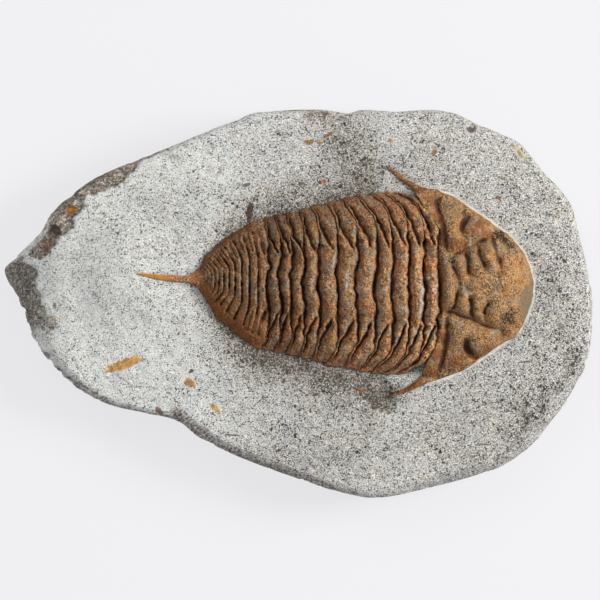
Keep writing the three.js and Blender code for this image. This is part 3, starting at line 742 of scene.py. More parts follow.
# %% Plan of the head
# X and Y on the outer edge, then on the edge by the body, from the left tip to the right tip
HEAD_EDGES = np.array([
    [18.0, 28.25, 18.3, 27.5], [20.4, 26.8, 20.0, 25.85], [23.0, 25.1, 22.2, 24.4],
    [25.0, 24.1, 23.6, 23.1], [26.8, 23.6, 24.4, 21.9], [28.8, 23.1, 25.4, 20.4],
    [31.5, 22.0, 26.9, 18.6], [34.4, 20.2, 28.2, 16.6], [37.4, 18.1, 28.95, 14.6],
    [40.4, 16.0, 29.05, 12.4], [43.4, 13.9, 29.05, 10.4], [45.8, 11.0, 29.05, 8.2],
    [47.4, 7.8, 29.05, 6.0], [48.2, 3.9, 29.05, 3.7], [47.9, 0.3, 29.05, 1.3],
    [46.8, -2.8, 29.05, -1.0], [44.8, -6.0, 29.05, -3.2], [41.6, -8.4, 28.95, -5.2],
    [38.2, -10.8, 28.6, -7.2], [35.0, -12.9, 27.9, -9.2], [31.8, -14.5, 27.1, -11.2],
    [28.6, -15.6, 26.2, -13.0], [26.2, -16.35, 25.5, -14.5], [24.3, -17.25, 24.3, -15.7],
    [22.9, -17.9, 22.8, -16.85], [21.3, -18.5, 21.2, -17.8], [19.4, -19.2, 19.3, -18.75],
])
HEAD_RISE = 8.3
CHEEK_REACH = (19.3, 18.1)
CHEEK_SPINE_RISE = 1.0
GLABELLA_MIDDLE = 4.1
HEAD_OVERHANG = 0.3


def head_plan(around, out):
    """X and Y of the head: straight from the edge by the body to the outer edge, both smooth
    curves through the rows of HEAD_EDGES. `around` counts those rows."""
    rows = np.arange(len(HEAD_EDGES))
    curves = [through(np.stack([rows, column], 1), around) for column in HEAD_EDGES.T]
    outer_x, outer_y, inner_x, inner_y = curves
    return mix(inner_x, outer_x, out), mix(inner_y, outer_y, out), inner_x, inner_y


print("head", np.round(np.ptp(HEAD_EDGES.reshape(-1, 2), axis=0), 1), "mm")

# %% Relief of the head
HEAD_FURROWS = [
    # depth at the start and at the end, half-width, and X and Y along the line of each furrow
    (
        1.15, 1.1, 0.46,
        [(31.0, 8.6), (32.0, 7.0), (32.6, 5.6), (32.8, 3.8), (32.5, 1.4), (31.8, -0.6), (31.0, -2.0)],
    ),
    (1.1, 1.0, 0.38, [(30.9, 9.6), (33.2, 10.6), (35.2, 11.5), (37.3, 12.8), (38.9, 13.7)]),
    (0.4, 0.4, 0.80, [(31.3, 9.2), (33.5, 10.0), (35.6, 10.8), (37.7, 12.0), (39.4, 12.8)]),
    (
        1.1, 0.8, 0.42,
        [(29.3, -1.6), (31.4, -1.7), (33.0, -2.6), (35.2, -3.1), (37.3, -4.0), (39.4, -5.1), (41.2, -5.6)],
    ),
    (0.4, 0.4, 0.90, [(30.6, -2.6), (32.6, -3.4), (35.2, -3.9), (37.3, -4.7), (39.4, -5.8), (41.2, -6.3)]),
    (1.6, 1.2, 0.58, [(34.5, 10.7), (34.5, 8.1), (34.9, 5.6)]),
    (1.5, 1.2, 0.48, [(36.4, 11.4), (37.2, 9.4), (38.3, 6.9)]),
    (1.5, 1.3, 0.42, [(39.6, 14.1), (40.3, 11.6), (41.3, 7.6)]),
    (1.2, 1.4, 0.56, [(35.2, 1.3), (35.3, -1.3), (35.9, -3.1)]),
    (1.3, 1.2, 0.46, [(39.1, 0.5), (38.2, -1.1), (37.9, -2.6)]),
    (1.3, 1.7, 0.85, [(27.9, 21.5), (28.7, 19.2), (29.3, 16.8), (29.7, 14.1), (30.3, 10.8)]),
    (1.4, 1.1, 0.80, [(30.3, -2.7), (30.3, -6.6), (29.7, -10.7), (29.1, -12.9), (28.2, -14.6)]),
    (0.5, 0.5, 0.40, [(29.3, 9.2), (29.2, 3.4), (29.1, 1.0), (29.4, -1.6)]),
    (0.45, 0.3, 0.60, [(29.0, 21.8), (31.5, 20.6), (34.6, 18.7), (38.2, 16.3), (41.4, 13.9)]),
    (0.45, 0.3, 0.60, [(29.6, -14.4), (32.6, -13.1), (35.8, -11.5), (38.8, -9.5), (42.0, -7.0)]),
    (0.8, 0.3, 0.70, [(40.2, 15.2), (41.8, 12.6), (43.4, 9.6)]),
    (0.7, 0.5, 0.60, [(41.2, -6.3), (42.8, -4.4), (43.6, -1.5)]),
    (0.4, 0.3, 0.60, [(33.4, 3.2), (34.9, 2.6), (37.5, 2.9)]),
]
HEAD_LOBES = [
    # height, X, Y, half-length, half-width, and turn in degrees
    (1.10, 30.9, 3.6, 1.7, 5.2, 0), (0.95, 33.1, 8.3, 1.6, 2.6, 5), (1.20, 36.3, 8.3, 1.8, 3.2, 15),
    (1.15, 39.2, 9.5, 1.9, 3.9, 15), (1.00, 33.7, -0.6, 1.6, 2.5, 6), (1.25, 36.8, -0.6, 1.9, 3.1, 9),
    (1.20, 40.3, -1.8, 2.1, 3.1, -22), (0.85, 44.2, 4.6, 3.2, 8.6, 0), (0.65, 32.9, 13.4, 2.6, 3.0, 0),
    (0.65, 32.9, -6.0, 2.3, 2.8, 0), (0.40, 38.6, 4.4, 3.4, 2.4, 0),
]
EYES = [
    # the middle of each raised lobe, its half-length and half-width, its turn, the direction
    # of its pit in degrees, and how many half-widths away the pit lies
    (36.8, 15.0, 2.6, 2.1, 30, 154, 1.42), (38.0, -7.8, 3.0, 2.1, 25, 205, 1.45),
]
FRONT_BAND = [
    (48.3, 6.2), (47.0, 4.2), (45.9, 2.2), (45.3, 0.1), (45.4, -1.7), (46.1, -3.6), (48.0, -4.0),
    (49.6, -1.0), (50.2, 3.0), (49.8, 6.4),
]
GLABELLA_RISE = 1.0
EYE_RISE = 1.45
PIT_DEPTH = 1.9
FURROW_BEND = 0.22
FURROW_ROUNDING = 0.22
FURROW_DARKNESS = 0.78


def glabella_half(x):
    """Half-width of the swollen middle part, which widens forward in a straight line."""
    return np.interp(x, [30.5, 42.0], [5.7, 9.9])


def furrow_depth(x, y, start, end, half, line):
    """Depth times e to the minus distance / half, rounded off over the first tenths of a
    millimetre, so the flanks fall away like a dug furrow's. It runs out at both ends, as if
    the distance grew there. Noise bends the line and makes it deeper here, shallower there."""
    bent_x = x + FURROW_BEND * rough(x, y, 0.0, 2.0, 53, 2)
    bent_y = y + FURROW_BEND * rough(x, y, 0.0, 2.0, 54, 2)
    distance, share = to_line(bent_x, bent_y, line)
    ends = 0.6 * half * (smooth(0.16, 0, share) + smooth(0.84, 1, share))
    uneven = 1 + 0.25 * rough(x, y, 0.0, 1.8, 55, 2)
    rounded = np.hypot(distance, FURROW_ROUNDING)
    return uneven * mix(start, end, share) * np.exp((FURROW_ROUNDING - ends) / half - rounded / half)


def turned(x, y, middle_x, middle_y, long, wide, turn):
    """The place measured in the half-length and half-width of a turned ellipse."""
    along, sideways = np.cos(np.radians(turn)), np.sin(np.radians(turn))
    dx, dy = x - middle_x, y - middle_y
    return (dx * along + dy * sideways) / long, (dy * along - dx * sideways) / wide


def eye_relief(x, y, eye):
    """Height of one eye's lobe, a round-topped ellipse, and depth of the pit: a bell across a
    crescent that hugs the lobe in one direction, towards which the lobe is a little higher."""
    *ellipse, pit_towards, pit_away = eye
    across, up = turned(x, y, *ellipse)
    distance = np.hypot(x - eye[0], y - eye[1])
    behind = np.clip(np.cos(np.radians(pit_towards) - np.arctan2(y - eye[1], x - eye[0])), 0, 1)
    lobe_height = EYE_RISE * np.clip(1 - (across**2 + up**2) / 1.4, 0, 1) ** 0.9
    half = (ellipse[2] + ellipse[3]) / 2
    pit = PIT_DEPTH * behind**4 * bell(distance / half - pit_away, 0.30)
    return lobe_height * mix(0.85, 1.1, behind), pit


def head_relief(x, y):
    """Height over the plain arch, and how far each point is sunk in a furrow or pit, which the
    finish paints dark with oxide and painted shade: the glabella's swelling, with the lobes
    added to it, the furrows taken off, and the eyes."""
    offset = np.abs(y - GLABELLA_MIDDLE) / glabella_half(x)
    height = GLABELLA_RISE * np.clip(1 - offset**4, 0, 1) * smooth(48.5, 41, x) * smooth(28.8, 30.5, x)
    for rise, *ellipse in HEAD_LOBES:
        across, up = turned(x, y, *ellipse)
        height = height + rise * np.clip(1 - across**2 - up**2, 0, 1) ** 0.8
    sunk = np.zeros(np.shape(x))
    for start, end, half, line in HEAD_FURROWS:
        depth = furrow_depth(x, y, start, end, half, line)
        height = height - depth
        sunk = np.maximum(sunk, FURROW_DARKNESS * smooth(0.35, 1.25, depth))
    for eye in EYES:
        lobe_height, pit = eye_relief(x, y, eye)
        height = height + lobe_height - pit
        sunk = np.maximum(sunk, smooth(0.3, 1.3, pit))
    return height, sunk


print("head", len(HEAD_LOBES), "lobes", len(HEAD_FURROWS), "furrows", len(EYES), "eyes")

# %% Stains of the head
# X, Y and half-width of each round dab of a stain
RUST = [
    (36.7, 15.2, 2.0), (33.4, 11.8, 1.4), (28.2, 17.5, 1.5), (28.6, 14.0, 1.2), (27.2, 21.0, 1.4),
    (29.0, -7.0, 1.2), (28.6, -10.5, 1.3), (27.6, -14.0, 1.4), (32.0, -11.5, 1.8), (36.0, -10.3, 1.2),
    (38.8, -9.6, 1.0), (42.0, -6.3, 0.9), (25.2, 23.8, 1.2), (23.0, 25.4, 1.2), (24.6, -16.6, 1.2),
    (41.5, 8.8, 0.7), (41.7, 6.3, 0.8), (22.0, -18.0, 1.2), (31.8, 12.6, 1.0),
]
GOLD = [
    (44.2, 5.0, 2.6), (43.8, 8.6, 1.8), (42.3, 2.0, 1.6), (39.3, 9.4, 1.3), (37.8, -6.9, 1.7),
    (40.6, -3.6, 1.2), (32.6, 15.0, 1.5), (33.6, -0.4, 1.0), (36.8, -1.2, 1.0), (33.2, 8.2, 0.7),
]
GREENISH = [
    # The dab at (31.9, 9.2) is painted shade on the rear flank of the rearmost left lobe
    (36.6, 8.7, 1.3), (40.4, 3.0, 1.5), (41.0, 0.0, 1.2), (31.9, 9.2, 0.8), (43.6, 11.6, 1.7),
    (31.4, 19.6, 1.8), (35.3, 17.9, 1.0), (33.9, 3.5, 1.0), (32.2, -4.6, 1.2), (38.6, 12.2, 1.0),
]
DARK_STAINS_AND_SHADE = [
    # The dabs at (42.8, -3.1), (43.6, -1.3), (28.6, 21.3) and (31.6, 8.8) sit in pits and furrows: painted
    # shade as well as stain
    (42.8, -3.1, 1.3), (43.6, -1.3, 1.0), (28.6, 21.3, 0.9), (41.0, 14.3, 0.9), (42.2, 12.9, 0.8),
    (43.7, 11.9, 0.5), (34.0, 18.8, 0.6), (42.0, -6.0, 0.7), (31.6, 8.8, 0.6), (41.2, 5.2, 0.5),
]
PALE_STREAKS_AND_GLINTS = [
    # X and Y of both ends, and half-width, of each whitish streak. The first lies at the upper
    # eye and the fourth at the lower one: painted glints on the glossy lenses.
    (34.6, 15.9, 36.9, 17.4, 0.30), (39.1, 15.7, 40.1, 14.8, 0.20), (37.1, 15.2, 37.2, 14.4, 0.22),
    (35.4, -8.0, 36.5, -9.5, 0.28), (39.8, -5.7, 40.3, -5.8, 0.30), (41.3, -5.8, 41.7, -5.9, 0.25),
    (33.4, 11.1, 36.9, 12.8, 0.10), (34.1, 2.2, 34.5, 1.6, 0.35), (32.9, -4.0, 33.4, -3.9, 0.4),
    (36.0, -5.6, 36.2, -5.8, 0.3),
]


def dabs(x, y, places):
    """The sum of round dabs, each 1 up to half its half-width and 0 from one and a half times
    of it, held below 1. Noise makes their edges ragged."""
    ragged = 0.55 * rough(x, y, 0.0, 1.2, 47, 3)
    total = 0
    for dab_x, dab_y, half in places:
        total = total + smooth(1.5, 0.5, np.hypot(x - dab_x, y - dab_y) / half + ragged)
    return np.clip(total, 0, 1)


print("head", sum(map(len, (RUST, GOLD, GREENISH, DARK_STAINS_AND_SHADE))), "dabs", len(PALE_STREAKS_AND_GLINTS), "streaks")

# %% [markdown]
# Plan, relief and stains now come together as the head shield. The stains could be painted on
# the finished mesh, but worked out on the same grid they stay in step with the relief: the
# furrows and eye pits are painted dark, with oxide and painted shade, just where they are deep,
# and rust sits round the eyes and spines.

# %% The head shield
AROUND_STEPS = 640
OUT_STEPS = 144
HEAD_TONE = 0.59
REAR_FALL = 0.8
RIM_RISE = 0.16


def cheek_spine(out, to_spine):
    """Height of the low round ridge along each cheek spine, lower towards its tip: across the
    spine it is the upper half of a circle, sqrt(4 out (1 - out))."""
    spine = smooth(0.62, 0.78, to_spine) * mix(1, 0.3, smooth(0.8, 1, to_spine))
    return CHEEK_SPINE_RISE * spine * np.sqrt(np.clip(4 * out * (1 - out), 0, 1))


def head_masks(x, y, out, to_spine, on_shield, sunk):
    """What the finish needs to know at each point of the head."""
    band = smooth(-0.5, 0.5, into(x, y, FRONT_BAND) + 0.35 * rough(x, y, 0.0, 1.5, 49))
    tone = HEAD_TONE + 0.05 * smooth(36, 44, x) - 0.02 * smooth(0, -8, y) + 0.12 * (1 - on_shield)
    return {
        # sunk: furrows, eye pits and the rear step, painted dark with oxide and painted shade
        "sunk": sunk,
        # ridge: wear on the raised parts, and a painted highlight on them
        "outer": smooth(0.58, 0.8, to_spine) + 0 * out,
        "ridge": smooth(0.5, 0, sunk) * on_shield * (1 - band),
        "flecks": 0.3 * bell(y - GLABELLA_MIDDLE, 2.5) * smooth(36, 30, x),
        "tone": tone,
        "band": band,
        "rust": dabs(x, y, RUST),
        "gold": dabs(x, y, GOLD),
        "greenish": dabs(x, y, GREENISH),
        "stain": dabs(x, y, DARK_STAINS_AND_SHADE),
        "pale": streaks(x, y, PALE_STREAKS_AND_GLINTS),
        "shield": on_shield + 0 * out,
    }


def head_shield():
    """The head's surface: the same arch as the body over the distance from the back line to
    the outer edge, with the relief on it, a step down at the rear edge, a faint rim round the
    front and a ridge along each cheek spine. `to_spine` is 0 at the front and 1 at a tip."""
    last = len(HEAD_EDGES) - 1
    middle = last / 2
    around = np.linspace(0, last, AROUND_STEPS)[None, :]
    out = 1 - (1 - np.linspace(0, 1, OUT_STEPS)[:, None]) ** 1.35
    to_spine = np.abs(around - middle) / middle
    x, y, inner_x, inner_y = head_plan(around, out)
    x = x - HEAD_OVERHANG * smooth(0.12, 0, out) * smooth(0.8, 0.7, to_spine)
    reach = np.where(around < middle, *CHEEK_REACH)
    inner = np.clip(np.abs(inner_y - through(BACK_LINE, inner_x)) / reach, 0, 1)
    x, y = warp(x, y)
    relief, sunk = head_relief(x, y)
    on_shield = smooth(0.84, 0.70, to_spine)
    rear = smooth(0.045, 0, out) * on_shield
    rim = smooth(0.90, 0.965, out) * smooth(1.0, 0.985, out) * on_shield
    spine_share = smooth(0.68, 0.88, to_spine)
    land = BED - moat(x) * (1 - 0.5 * spine_share) + LIP - 0.35 * spine_share
    z = land + HEAD_RISE * arch(mix(inner, 1, out)) + cheek_spine(out, to_spine)
    z = z - REAR_FALL * rear + RIM_RISE * rim
    z = z + relief * smooth(1, 0.93, out) * on_shield
    z = z + shell_grain(x, y) * mix(0.35, 0.9, smooth(1.0, 0.94, out))
    # The step down at the rear edge is painted dark like the furrows: painted shade with oxide
    sunk = np.clip(sunk * on_shield + 0.7 * rear, 0, 1)
    masks = head_masks(x, y, out, to_spine, on_shield, sunk)
    return closed_over("head", np.stack([x, y, z], -1), SHELL_FLOOR, masks)


head = head_shield()

# %% [markdown]
# The slab is broken limestone, worked down to the fossil with fine tools. A block could be
# carved by booleans or sculpted, but the worked top follows the fossil's outline, so it is best
# said as a height over the plan: nearly flat, with slow waves, tool marks, a moat dug beside
# the body and a few hollows. It is sampled on rays from a ring under the fossil out to the rim,
# then carried down over rough broken sides to the foot, so that top, sides and base are one
# closed surface.

# %% Outline of the slab
SLAB_EDGE = np.array([
    [60.4, 0.8], [59.4, 6.8], [57.6, 14.5], [56.2, 19.8], [53.8, 23.4], [50.8, 26.4],
    [47.8, 30.3], [45.2, 33.0], [41.8, 34.7], [35.9, 37.2], [32.4, 38.9], [27.7, 39.7],
    [19.9, 39.4], [12.9, 39.7], [10.2, 39.1], [4.4, 39.8], [-4.4, 39.5], [-9.6, 39.0],
    [-12.3, 37.7], [-17.0, 36.0], [-26.4, 32.1], [-32.6, 29.7], [-40.8, 26.2], [-44.7, 23.7],
    [-50.4, 18.9], [-53.3, 14.3], [-58.2, 9.4], [-60.4, 6.8], [-57.0, -0.7], [-54.7, -7.0],
    [-51.0, -12.6], [-46.9, -16.4], [-39.4, -20.5], [-31.6, -22.4], [-25.4, -23.8],
    [-20.3, -27.4], [-12.1, -31.4], [2.5, -36.8], [8.6, -38.6], [15.2, -39.8], [23.0, -38.7],
    [38.1, -34.7], [43.5, -32.4], [49.2, -27.7], [55.4, -19.4], [59.0, -12.6], [60.3, -5.6],
])
TOP_INSET = [
    # direction from the middle in degrees, and how far inside the edge the flat top begins
    [-180, 2.0], [-172, 2.0], [-160, 1.2], [-150, 1.0], [-135, 1.3], [-115, 1.2], [-80, 1.1],
    [-66, 0.9], [-56, 1.5], [-46, 2.0], [-30, 2.0], [-18, 1.5], [-8, 0.8], [20, 0.7], [60, 0.5],
    [110, 0.5], [135, 0.8], [160, 1.2], [172, 2.0], [180, 2.0],
]
SLAB_STEPS = 760
CHIP_DEPTH = 0.35


def slab_edge():
    """The slab's widest outline at even steps, and its length: x and y as smooth curves through
    the chosen points, over the length of the line that joins them, closed by repeating both
    ends. Near the tip the rim is chipped: noise draws it in."""
    wrapped = np.concatenate([SLAB_EDGE[-3:], SLAB_EDGE, SLAB_EDGE[:4]])
    reached = np.concatenate([[0], np.cumsum(np.hypot(*np.diff(wrapped, axis=0).T))])
    start, end = reached[3], reached[3 + len(SLAB_EDGE)]
    even = np.linspace(start, end, SLAB_STEPS, endpoint=False)
    line_x, line_y = [through(np.stack([reached, column], 1), even) for column in wrapped.T]
    chipped = smooth(-42, -48, line_x) * smooth(6, 2, line_y)
    chips = CHIP_DEPTH * chipped * (1 + rough(line_x, line_y, 0.0, 1.1, 107, 2))
    inward = 1 - chips / np.hypot(line_x, line_y)
    return line_x * inward, line_y * inward, end - start


edge_line_x, edge_line_y, edge_length = slab_edge()
edge_angle = np.degrees(np.arctan2(edge_line_y, edge_line_x))
edge_reach = np.hypot(edge_line_x, edge_line_y)
print("slab", round(float(np.ptp(edge_line_x)), 1), "by", round(float(np.ptp(edge_line_y)), 1), "mm")

# %% [markdown]
# The break and the tools left their marks on the slab: hollows, a spot dug out beside the
# shell, brown crust at the tail end, combed bands along the edge and stained patches. Beside
# the body, in the dug spot and close round the shell the rock is also darkened by painted
# shade. Each could be painted as a picture. As an outline or an ellipse on the plan it gives a
# height and a mask at once, so relief and colour agree.

# %% Places on the slab's top
ROCK_FALL = 1.9
ROCK_REACH = 45.0
SHELL_MIDDLE = (12.0, 4.0)
MOAT_WIDTH = 4.2
HOLLOWS = [
    # depth, X, Y, half-width along X, half-width along Y
    (0.6, 17.2, -18.6, 3.4, 2.0), (0.15, -22.0, 1.5, 3.0, 3.0),
]
DUG_OUT = [
    (10.2, 21.0), (11.1, 25.8), (12.3, 28.6), (14.0, 30.0), (16.4, 29.7), (18.0, 28.4), (17.6, 25.5),
    (15.8, 22.3),
]
CRUSTS = [
    [
        (-32.6, 29.9), (-33.0, 27.8), (-34.2, 26.6), (-36.1, 24.7), (-39.8, 23.1), (-43.0, 21.5),
        (-43.9, 19.8), (-44.6, 17.8), (-47.4, 14.9), (-49.2, 12.2), (-50.3, 10.2), (-52.9, 8.5),
        (-54.3, 8.1), (-55.0, 10.0), (-54.5, 12.0), (-53.3, 14.4), (-51.4, 17.5), (-47.0, 22.0),
        (-41.0, 26.6), (-35.3, 29.9),
    ],
    [
        (-60.6, 7.3), (-57.4, 9.4), (-55.3, 8.1), (-54.3, 6.5), (-53.3, 4.5), (-52.7, 1.6),
        (-52.8, -0.4), (-50.8, -1.7), (-49.6, -0.5), (-48.6, -1.1), (-48.6, -3.1), (-49.4, -4.7),
        (-50.2, -6.0), (-50.4, -8.1), (-51.6, -7.4), (-53.0, -5.6), (-55.0, -4.6), (-56.7, -1.2),
        (-58.2, 1.6), (-60.4, 5.8),
    ],
]
WORN_EDGES = [
    [
        (-1.6, 41.0), (-1.0, 39.4), (0.4, 38.5), (4.1, 38.1), (6.6, 36.8), (9.6, 36.6), (11.5, 38.1),
        (11.0, 41.0),
    ],
    [(34.2, 37.6), (34.4, 36.4), (36.0, 35.6), (37.6, 35.6), (38.4, 37.0), (36.0, 38.6)],
]
EDGE_BANDS = [
    [
        (-51.0, -12.9), (-48.8, -13.8), (-47.1, -15.0), (-44.7, -16.5), (-42.2, -17.9), (-39.8, -19.1),
        (-36.9, -20.6), (-34.8, -20.9), (-34.2, -23.4), (-38.1, -23.0), (-42.2, -22.0), (-46.7, -19.3),
        (-51.6, -15.6),
    ],
    [
        (-26.0, -21.9), (-23.0, -22.4), (-20.9, -24.9), (-17.6, -26.5), (-15.0, -28.3), (-11.9, -30.0),
        (-7.4, -31.9), (-2.7, -34.0), (1.0, -34.9), (4.9, -36.7), (9.6, -38.4), (13.9, -39.4),
        (15.2, -42.4), (6.6, -41.8), (-3.7, -39.5), (-11.9, -36.0), (-17.2, -33.9), (-26.0, -28.5),
    ],
]
COMB_PITCH = 0.82
DARK_BANDS = [
    [
        (56.2, -14.0), (54.9, -16.5), (51.9, -19.3), (49.6, -22.2), (47.1, -24.7), (45.5, -27.9),
        (43.0, -31.0), (42.0, -29.6), (44.3, -27.1), (45.9, -23.8), (48.0, -21.4), (50.2, -18.9),
        (52.9, -16.5), (54.5, -14.0),
    ],
    # This band lies round the hollow below the right cheek spine; its dark is in part painted shade
    [
        (19.9, -20.8), (17.8, -22.2), (15.2, -21.4), (13.1, -19.3), (13.9, -16.9), (16.8, -15.9),
        (20.1, -17.0),
    ],
    [
        (53.5, -4.5), (55.3, -5.5), (56.4, -9.0), (57.2, -12.5), (56.6, -15.6), (54.9, -15.4),
        (54.2, -10.0),
    ],
]
STAINS = [
    # strength, X, Y, half-width along X, half-width along Y
    (0.45, 9.5, 31.5, 4.5, 8.0), (0.30, 47.5, -24.0, 5.0, 6.0), (0.25, 52.0, 4.0, 4.0, 14.0),
    # The stain at (17.0, -18.4) lies in the hollow below the right cheek spine, in part painted shade
    (0.20, 26.0, 31.0, 4.0, 5.0), (0.32, 17.0, -18.4, 2.6, 2.0),
    (0.28, 0.0, -31.5, 14.0, 5.0), (0.12, 34.0, -24.0, 10.0, 8.0), (0.15, -28.0, 15.0, 12.0, 9.0),
]


def shell_outline():
    """The plan of the whole shell as one closed line: the head's outer edge, the inner edge of
    the right cheek spine, the body's right side back to the tail spine, round it, the left
    side forward again, and the inner edge of the left cheek spine."""
    front = np.linspace(0.74, 1, 8)
    rings_at = np.linspace(0, TAIL_END, 60)
    spine_at = np.linspace(TAIL_EDGE_END - 1, SPINE_TIP, 8)
    right = np.stack(body_plan(rings_at, -np.ones(rings_at.shape)), 1)
    left = np.stack(body_plan(rings_at, np.ones(rings_at.shape)), 1)
    right_spine = np.stack([spine_at, through(RIGHT_EDGE, spine_at)], 1)
    left_spine = np.stack([spine_at, through(LEFT_EDGE, spine_at)], 1)
    corner_right = np.stack(body_plan(np.zeros(front.shape), -front), 1)
    corner_left = np.stack(body_plan(np.zeros(front.shape), front[::-1]), 1)
    body = np.concatenate([corner_right, right, right_spine, left_spine[::-1], left[::-1], corner_left])
    outer, inner = HEAD_EDGES[:, :2], HEAD_EDGES[:, 2:]
    right_cheek, left_cheek = inner[:-8:-1], inner[6::-1]
    return np.concatenate([outer, right_cheek, body, left_cheek, outer[:1]])


def patch(x, y, outlines, blur, ragged):
    """1 inside any of the outlines and 0 outside, over `blur` millimetres to either side of an
    edge that noise moves in and out."""
    moved = ragged * rough(x, y, 0.0, 2.2, 51, 4)
    return np.max([smooth(-blur, blur, into(x, y, outline) + moved) for outline in outlines], axis=0)


def spot(x, y, middle_x, middle_y, long, wide):
    """e to the minus the squared distance from the middle, measured in the half-widths."""
    return np.exp(-(((x - middle_x) / long) ** 2) - ((y - middle_y) / wide) ** 2)


SHELL_OUTLINE = shell_outline()
print("the shell's outline has", len(SHELL_OUTLINE), "points")

# %% Height of the slab's top
WAVE_HEIGHTS = (0.18, 0.12, 0.20)
TIP_FALL = 3.4
TIP_REACH = (-46.0, -60.5)
LUMP_HEIGHT = 0.4
CRUST_FALL = 0.5
TOOLING_HEIGHT = 0.06
STAINED_FALL = 0.2
DARK_FALL = 0.25
NEAR_SHADE_REACH = 4.8
SEAT_DEPTH = 1.4


def bed_height(x, y, distance):
    """Height of the worked top without its marks: the bed, less a fall with the square of the
    distance from the fossil's middle, a steeper one at the tip, the moat and the hollows. Two
    sine waves and slow noise keep it from being even. `distance` is to the shell."""
    away = np.hypot(x - SHELL_MIDDLE[0], y - SHELL_MIDDLE[1])
    swell, ripple, unrest = WAVE_HEIGHTS
    wave = swell * np.sin(0.16 * x + 0.9) * np.cos(0.13 * y - 0.5) + ripple * np.sin(0.3 * y)
    wave = wave + unrest * rough(x, y, 0.0, 9.0, 61, 2)
    fall = ROCK_FALL * (away / ROCK_REACH) ** 2 * smooth(0, 14, distance)
    height = BED - fall + wave * smooth(2, 12, distance)
    height = height - moat(x) * bell(distance, MOAT_WIDTH) - TIP_FALL * smooth(*TIP_REACH, x) ** 1.5
    for depth, *hollow in HOLLOWS:
        height = height - depth * spot(x, y, *hollow)
    return height


def stains_and_painted_shade(x, y, distance, dark, dug):
    """How much darker the rock is: near the body, by e to the minus (distance / reach)^1.4, and
    more below it, towards negative Y, in the dark bands, where it was dug out, close round the
    shell, and in the stains. The darkening by the body, in the dug spot and close round the shell
    is painted shade on stained rock. The bands and stains are the rock's own colour, except in
    the hollow below the right cheek spine, where they are in part painted shade."""
    # Painted shade beside the body, heavier on its lower side
    below = mix(0.75, 1.5, smooth(2, -8, y))
    near = np.exp(-((distance / NEAR_SHADE_REACH) ** 1.4))
    stain_and_shade = below * near * moat(x) / MOAT_DEPTH * smooth(19, 13, x)
    # Dark bands, and painted shade in the dug spot
    stain_and_shade = stain_and_shade + mix(0.75, 0.4, smooth(25, 40, x)) * dark + 0.35 * dug
    # A thin painted shade close round the shell
    stain_and_shade = stain_and_shade + 0.15 * bell(distance, 1.0) * smooth(30, 20, x)
    for strength, *stain in STAINS:
        stain_and_shade = stain_and_shade + strength * spot(x, y, *stain)
    return np.clip(stain_and_shade, 0, 1)


def rock_height(x, y):
    """Height of the top: the bed with tool marks on it, with lumps and pits on the crust, a
    little lower where it was dug, in the dark bands and in the combed bands, and sunk under the
    shell. Also the distance to the shell, how far each point is on the crust and in the bands
    along the edge, and how dark the rock is from stains and painted shade."""
    distance, _ = to_line(x, y, SHELL_OUTLINE)
    within = inside_of(x, y, SHELL_OUTLINE)
    dug = smooth(-0.3, 0.9, into(x, y, DUG_OUT))
    crust = np.maximum(patch(x, y, CRUSTS, 0.5, 0.9), 0.55 * patch(x, y, WORN_EDGES, 0.7, 1.2))
    crust = crust * mix(1, 0.62, smooth(1, -3, y) * smooth(-40, -46, x))
    band = patch(x, y, EDGE_BANDS, 0.5, 0.7)
    dark = patch(x, y, DARK_BANDS, 0.8, 1.2)
    lumps = LUMP_HEIGHT * rough(x, y, 0.0, 3.6, 71, 5) - CRUST_FALL * crust
    tooling = TOOLING_HEIGHT * rough(x + 0.6 * y, 0.4 * y, 0.0, 0.9, 81, 3)
    height = bed_height(x, y, distance) + mix(tooling, lumps, crust)
    height = height - STAINED_FALL * dug - DARK_FALL * dark - STAINED_FALL * band
    stain_and_shade = stains_and_painted_shade(x, y, distance, dark, dug)
    height = height - np.where(within, SEAT_DEPTH * smooth(0, 1.2, distance), 0)
    return height, distance, crust, band, stain_and_shade


middle_height = rock_height(np.array([SHELL_MIDDLE[0]]), np.array([SHELL_MIDDLE[1]]))[0][0]
print("rock under the fossil's middle:", round(float(middle_height), 1), "mm")

# %% [markdown]
# Top and sides make one mesh. A Bevel modifier could round the rim of a plain block, but this
# rim is chipped and the sides bulge under it. So the rows of points run on over the rim and
# down, and noise pushes them in.

# %% The slab
UNDER_HALF_X = 29.0
UNDER_HALF_Y = 14.0
HUB_DEPTH = 3.0
TOP_ROWS = 92
SIDE_ROWS = 34
RIM_DROP = 0.35
FOOT_INSET = 1.6
FOOT_HEIGHT = 1.6
LUMP_PUSH = 0.75
RIM_CRUST = [
    # direction from the middle in degrees, and how weathered the side is there
    [-180, 1.0], [-176, 0.8], [-172, 0.2], [-167, 0.1], [-164, 0.5], [-155, 0.5], [-148, 0.6],
    [-132, 0.6], [-126, 0.15], [-118, 0.6], [-78, 0.6], [-70, 0.25], [-50, 0.0], [0, 0.0],
    [30, 0.0], [36, 0.2], [50, 0.1], [70, 0.3], [84, 0.3], [88, 0.7], [92, 0.7], [96, 0.3],
    [120, 0.35], [130, 0.5], [137, 0.9], [158, 0.9], [163, 0.4], [169, 0.3], [173, 0.9], [180, 1.0],
]


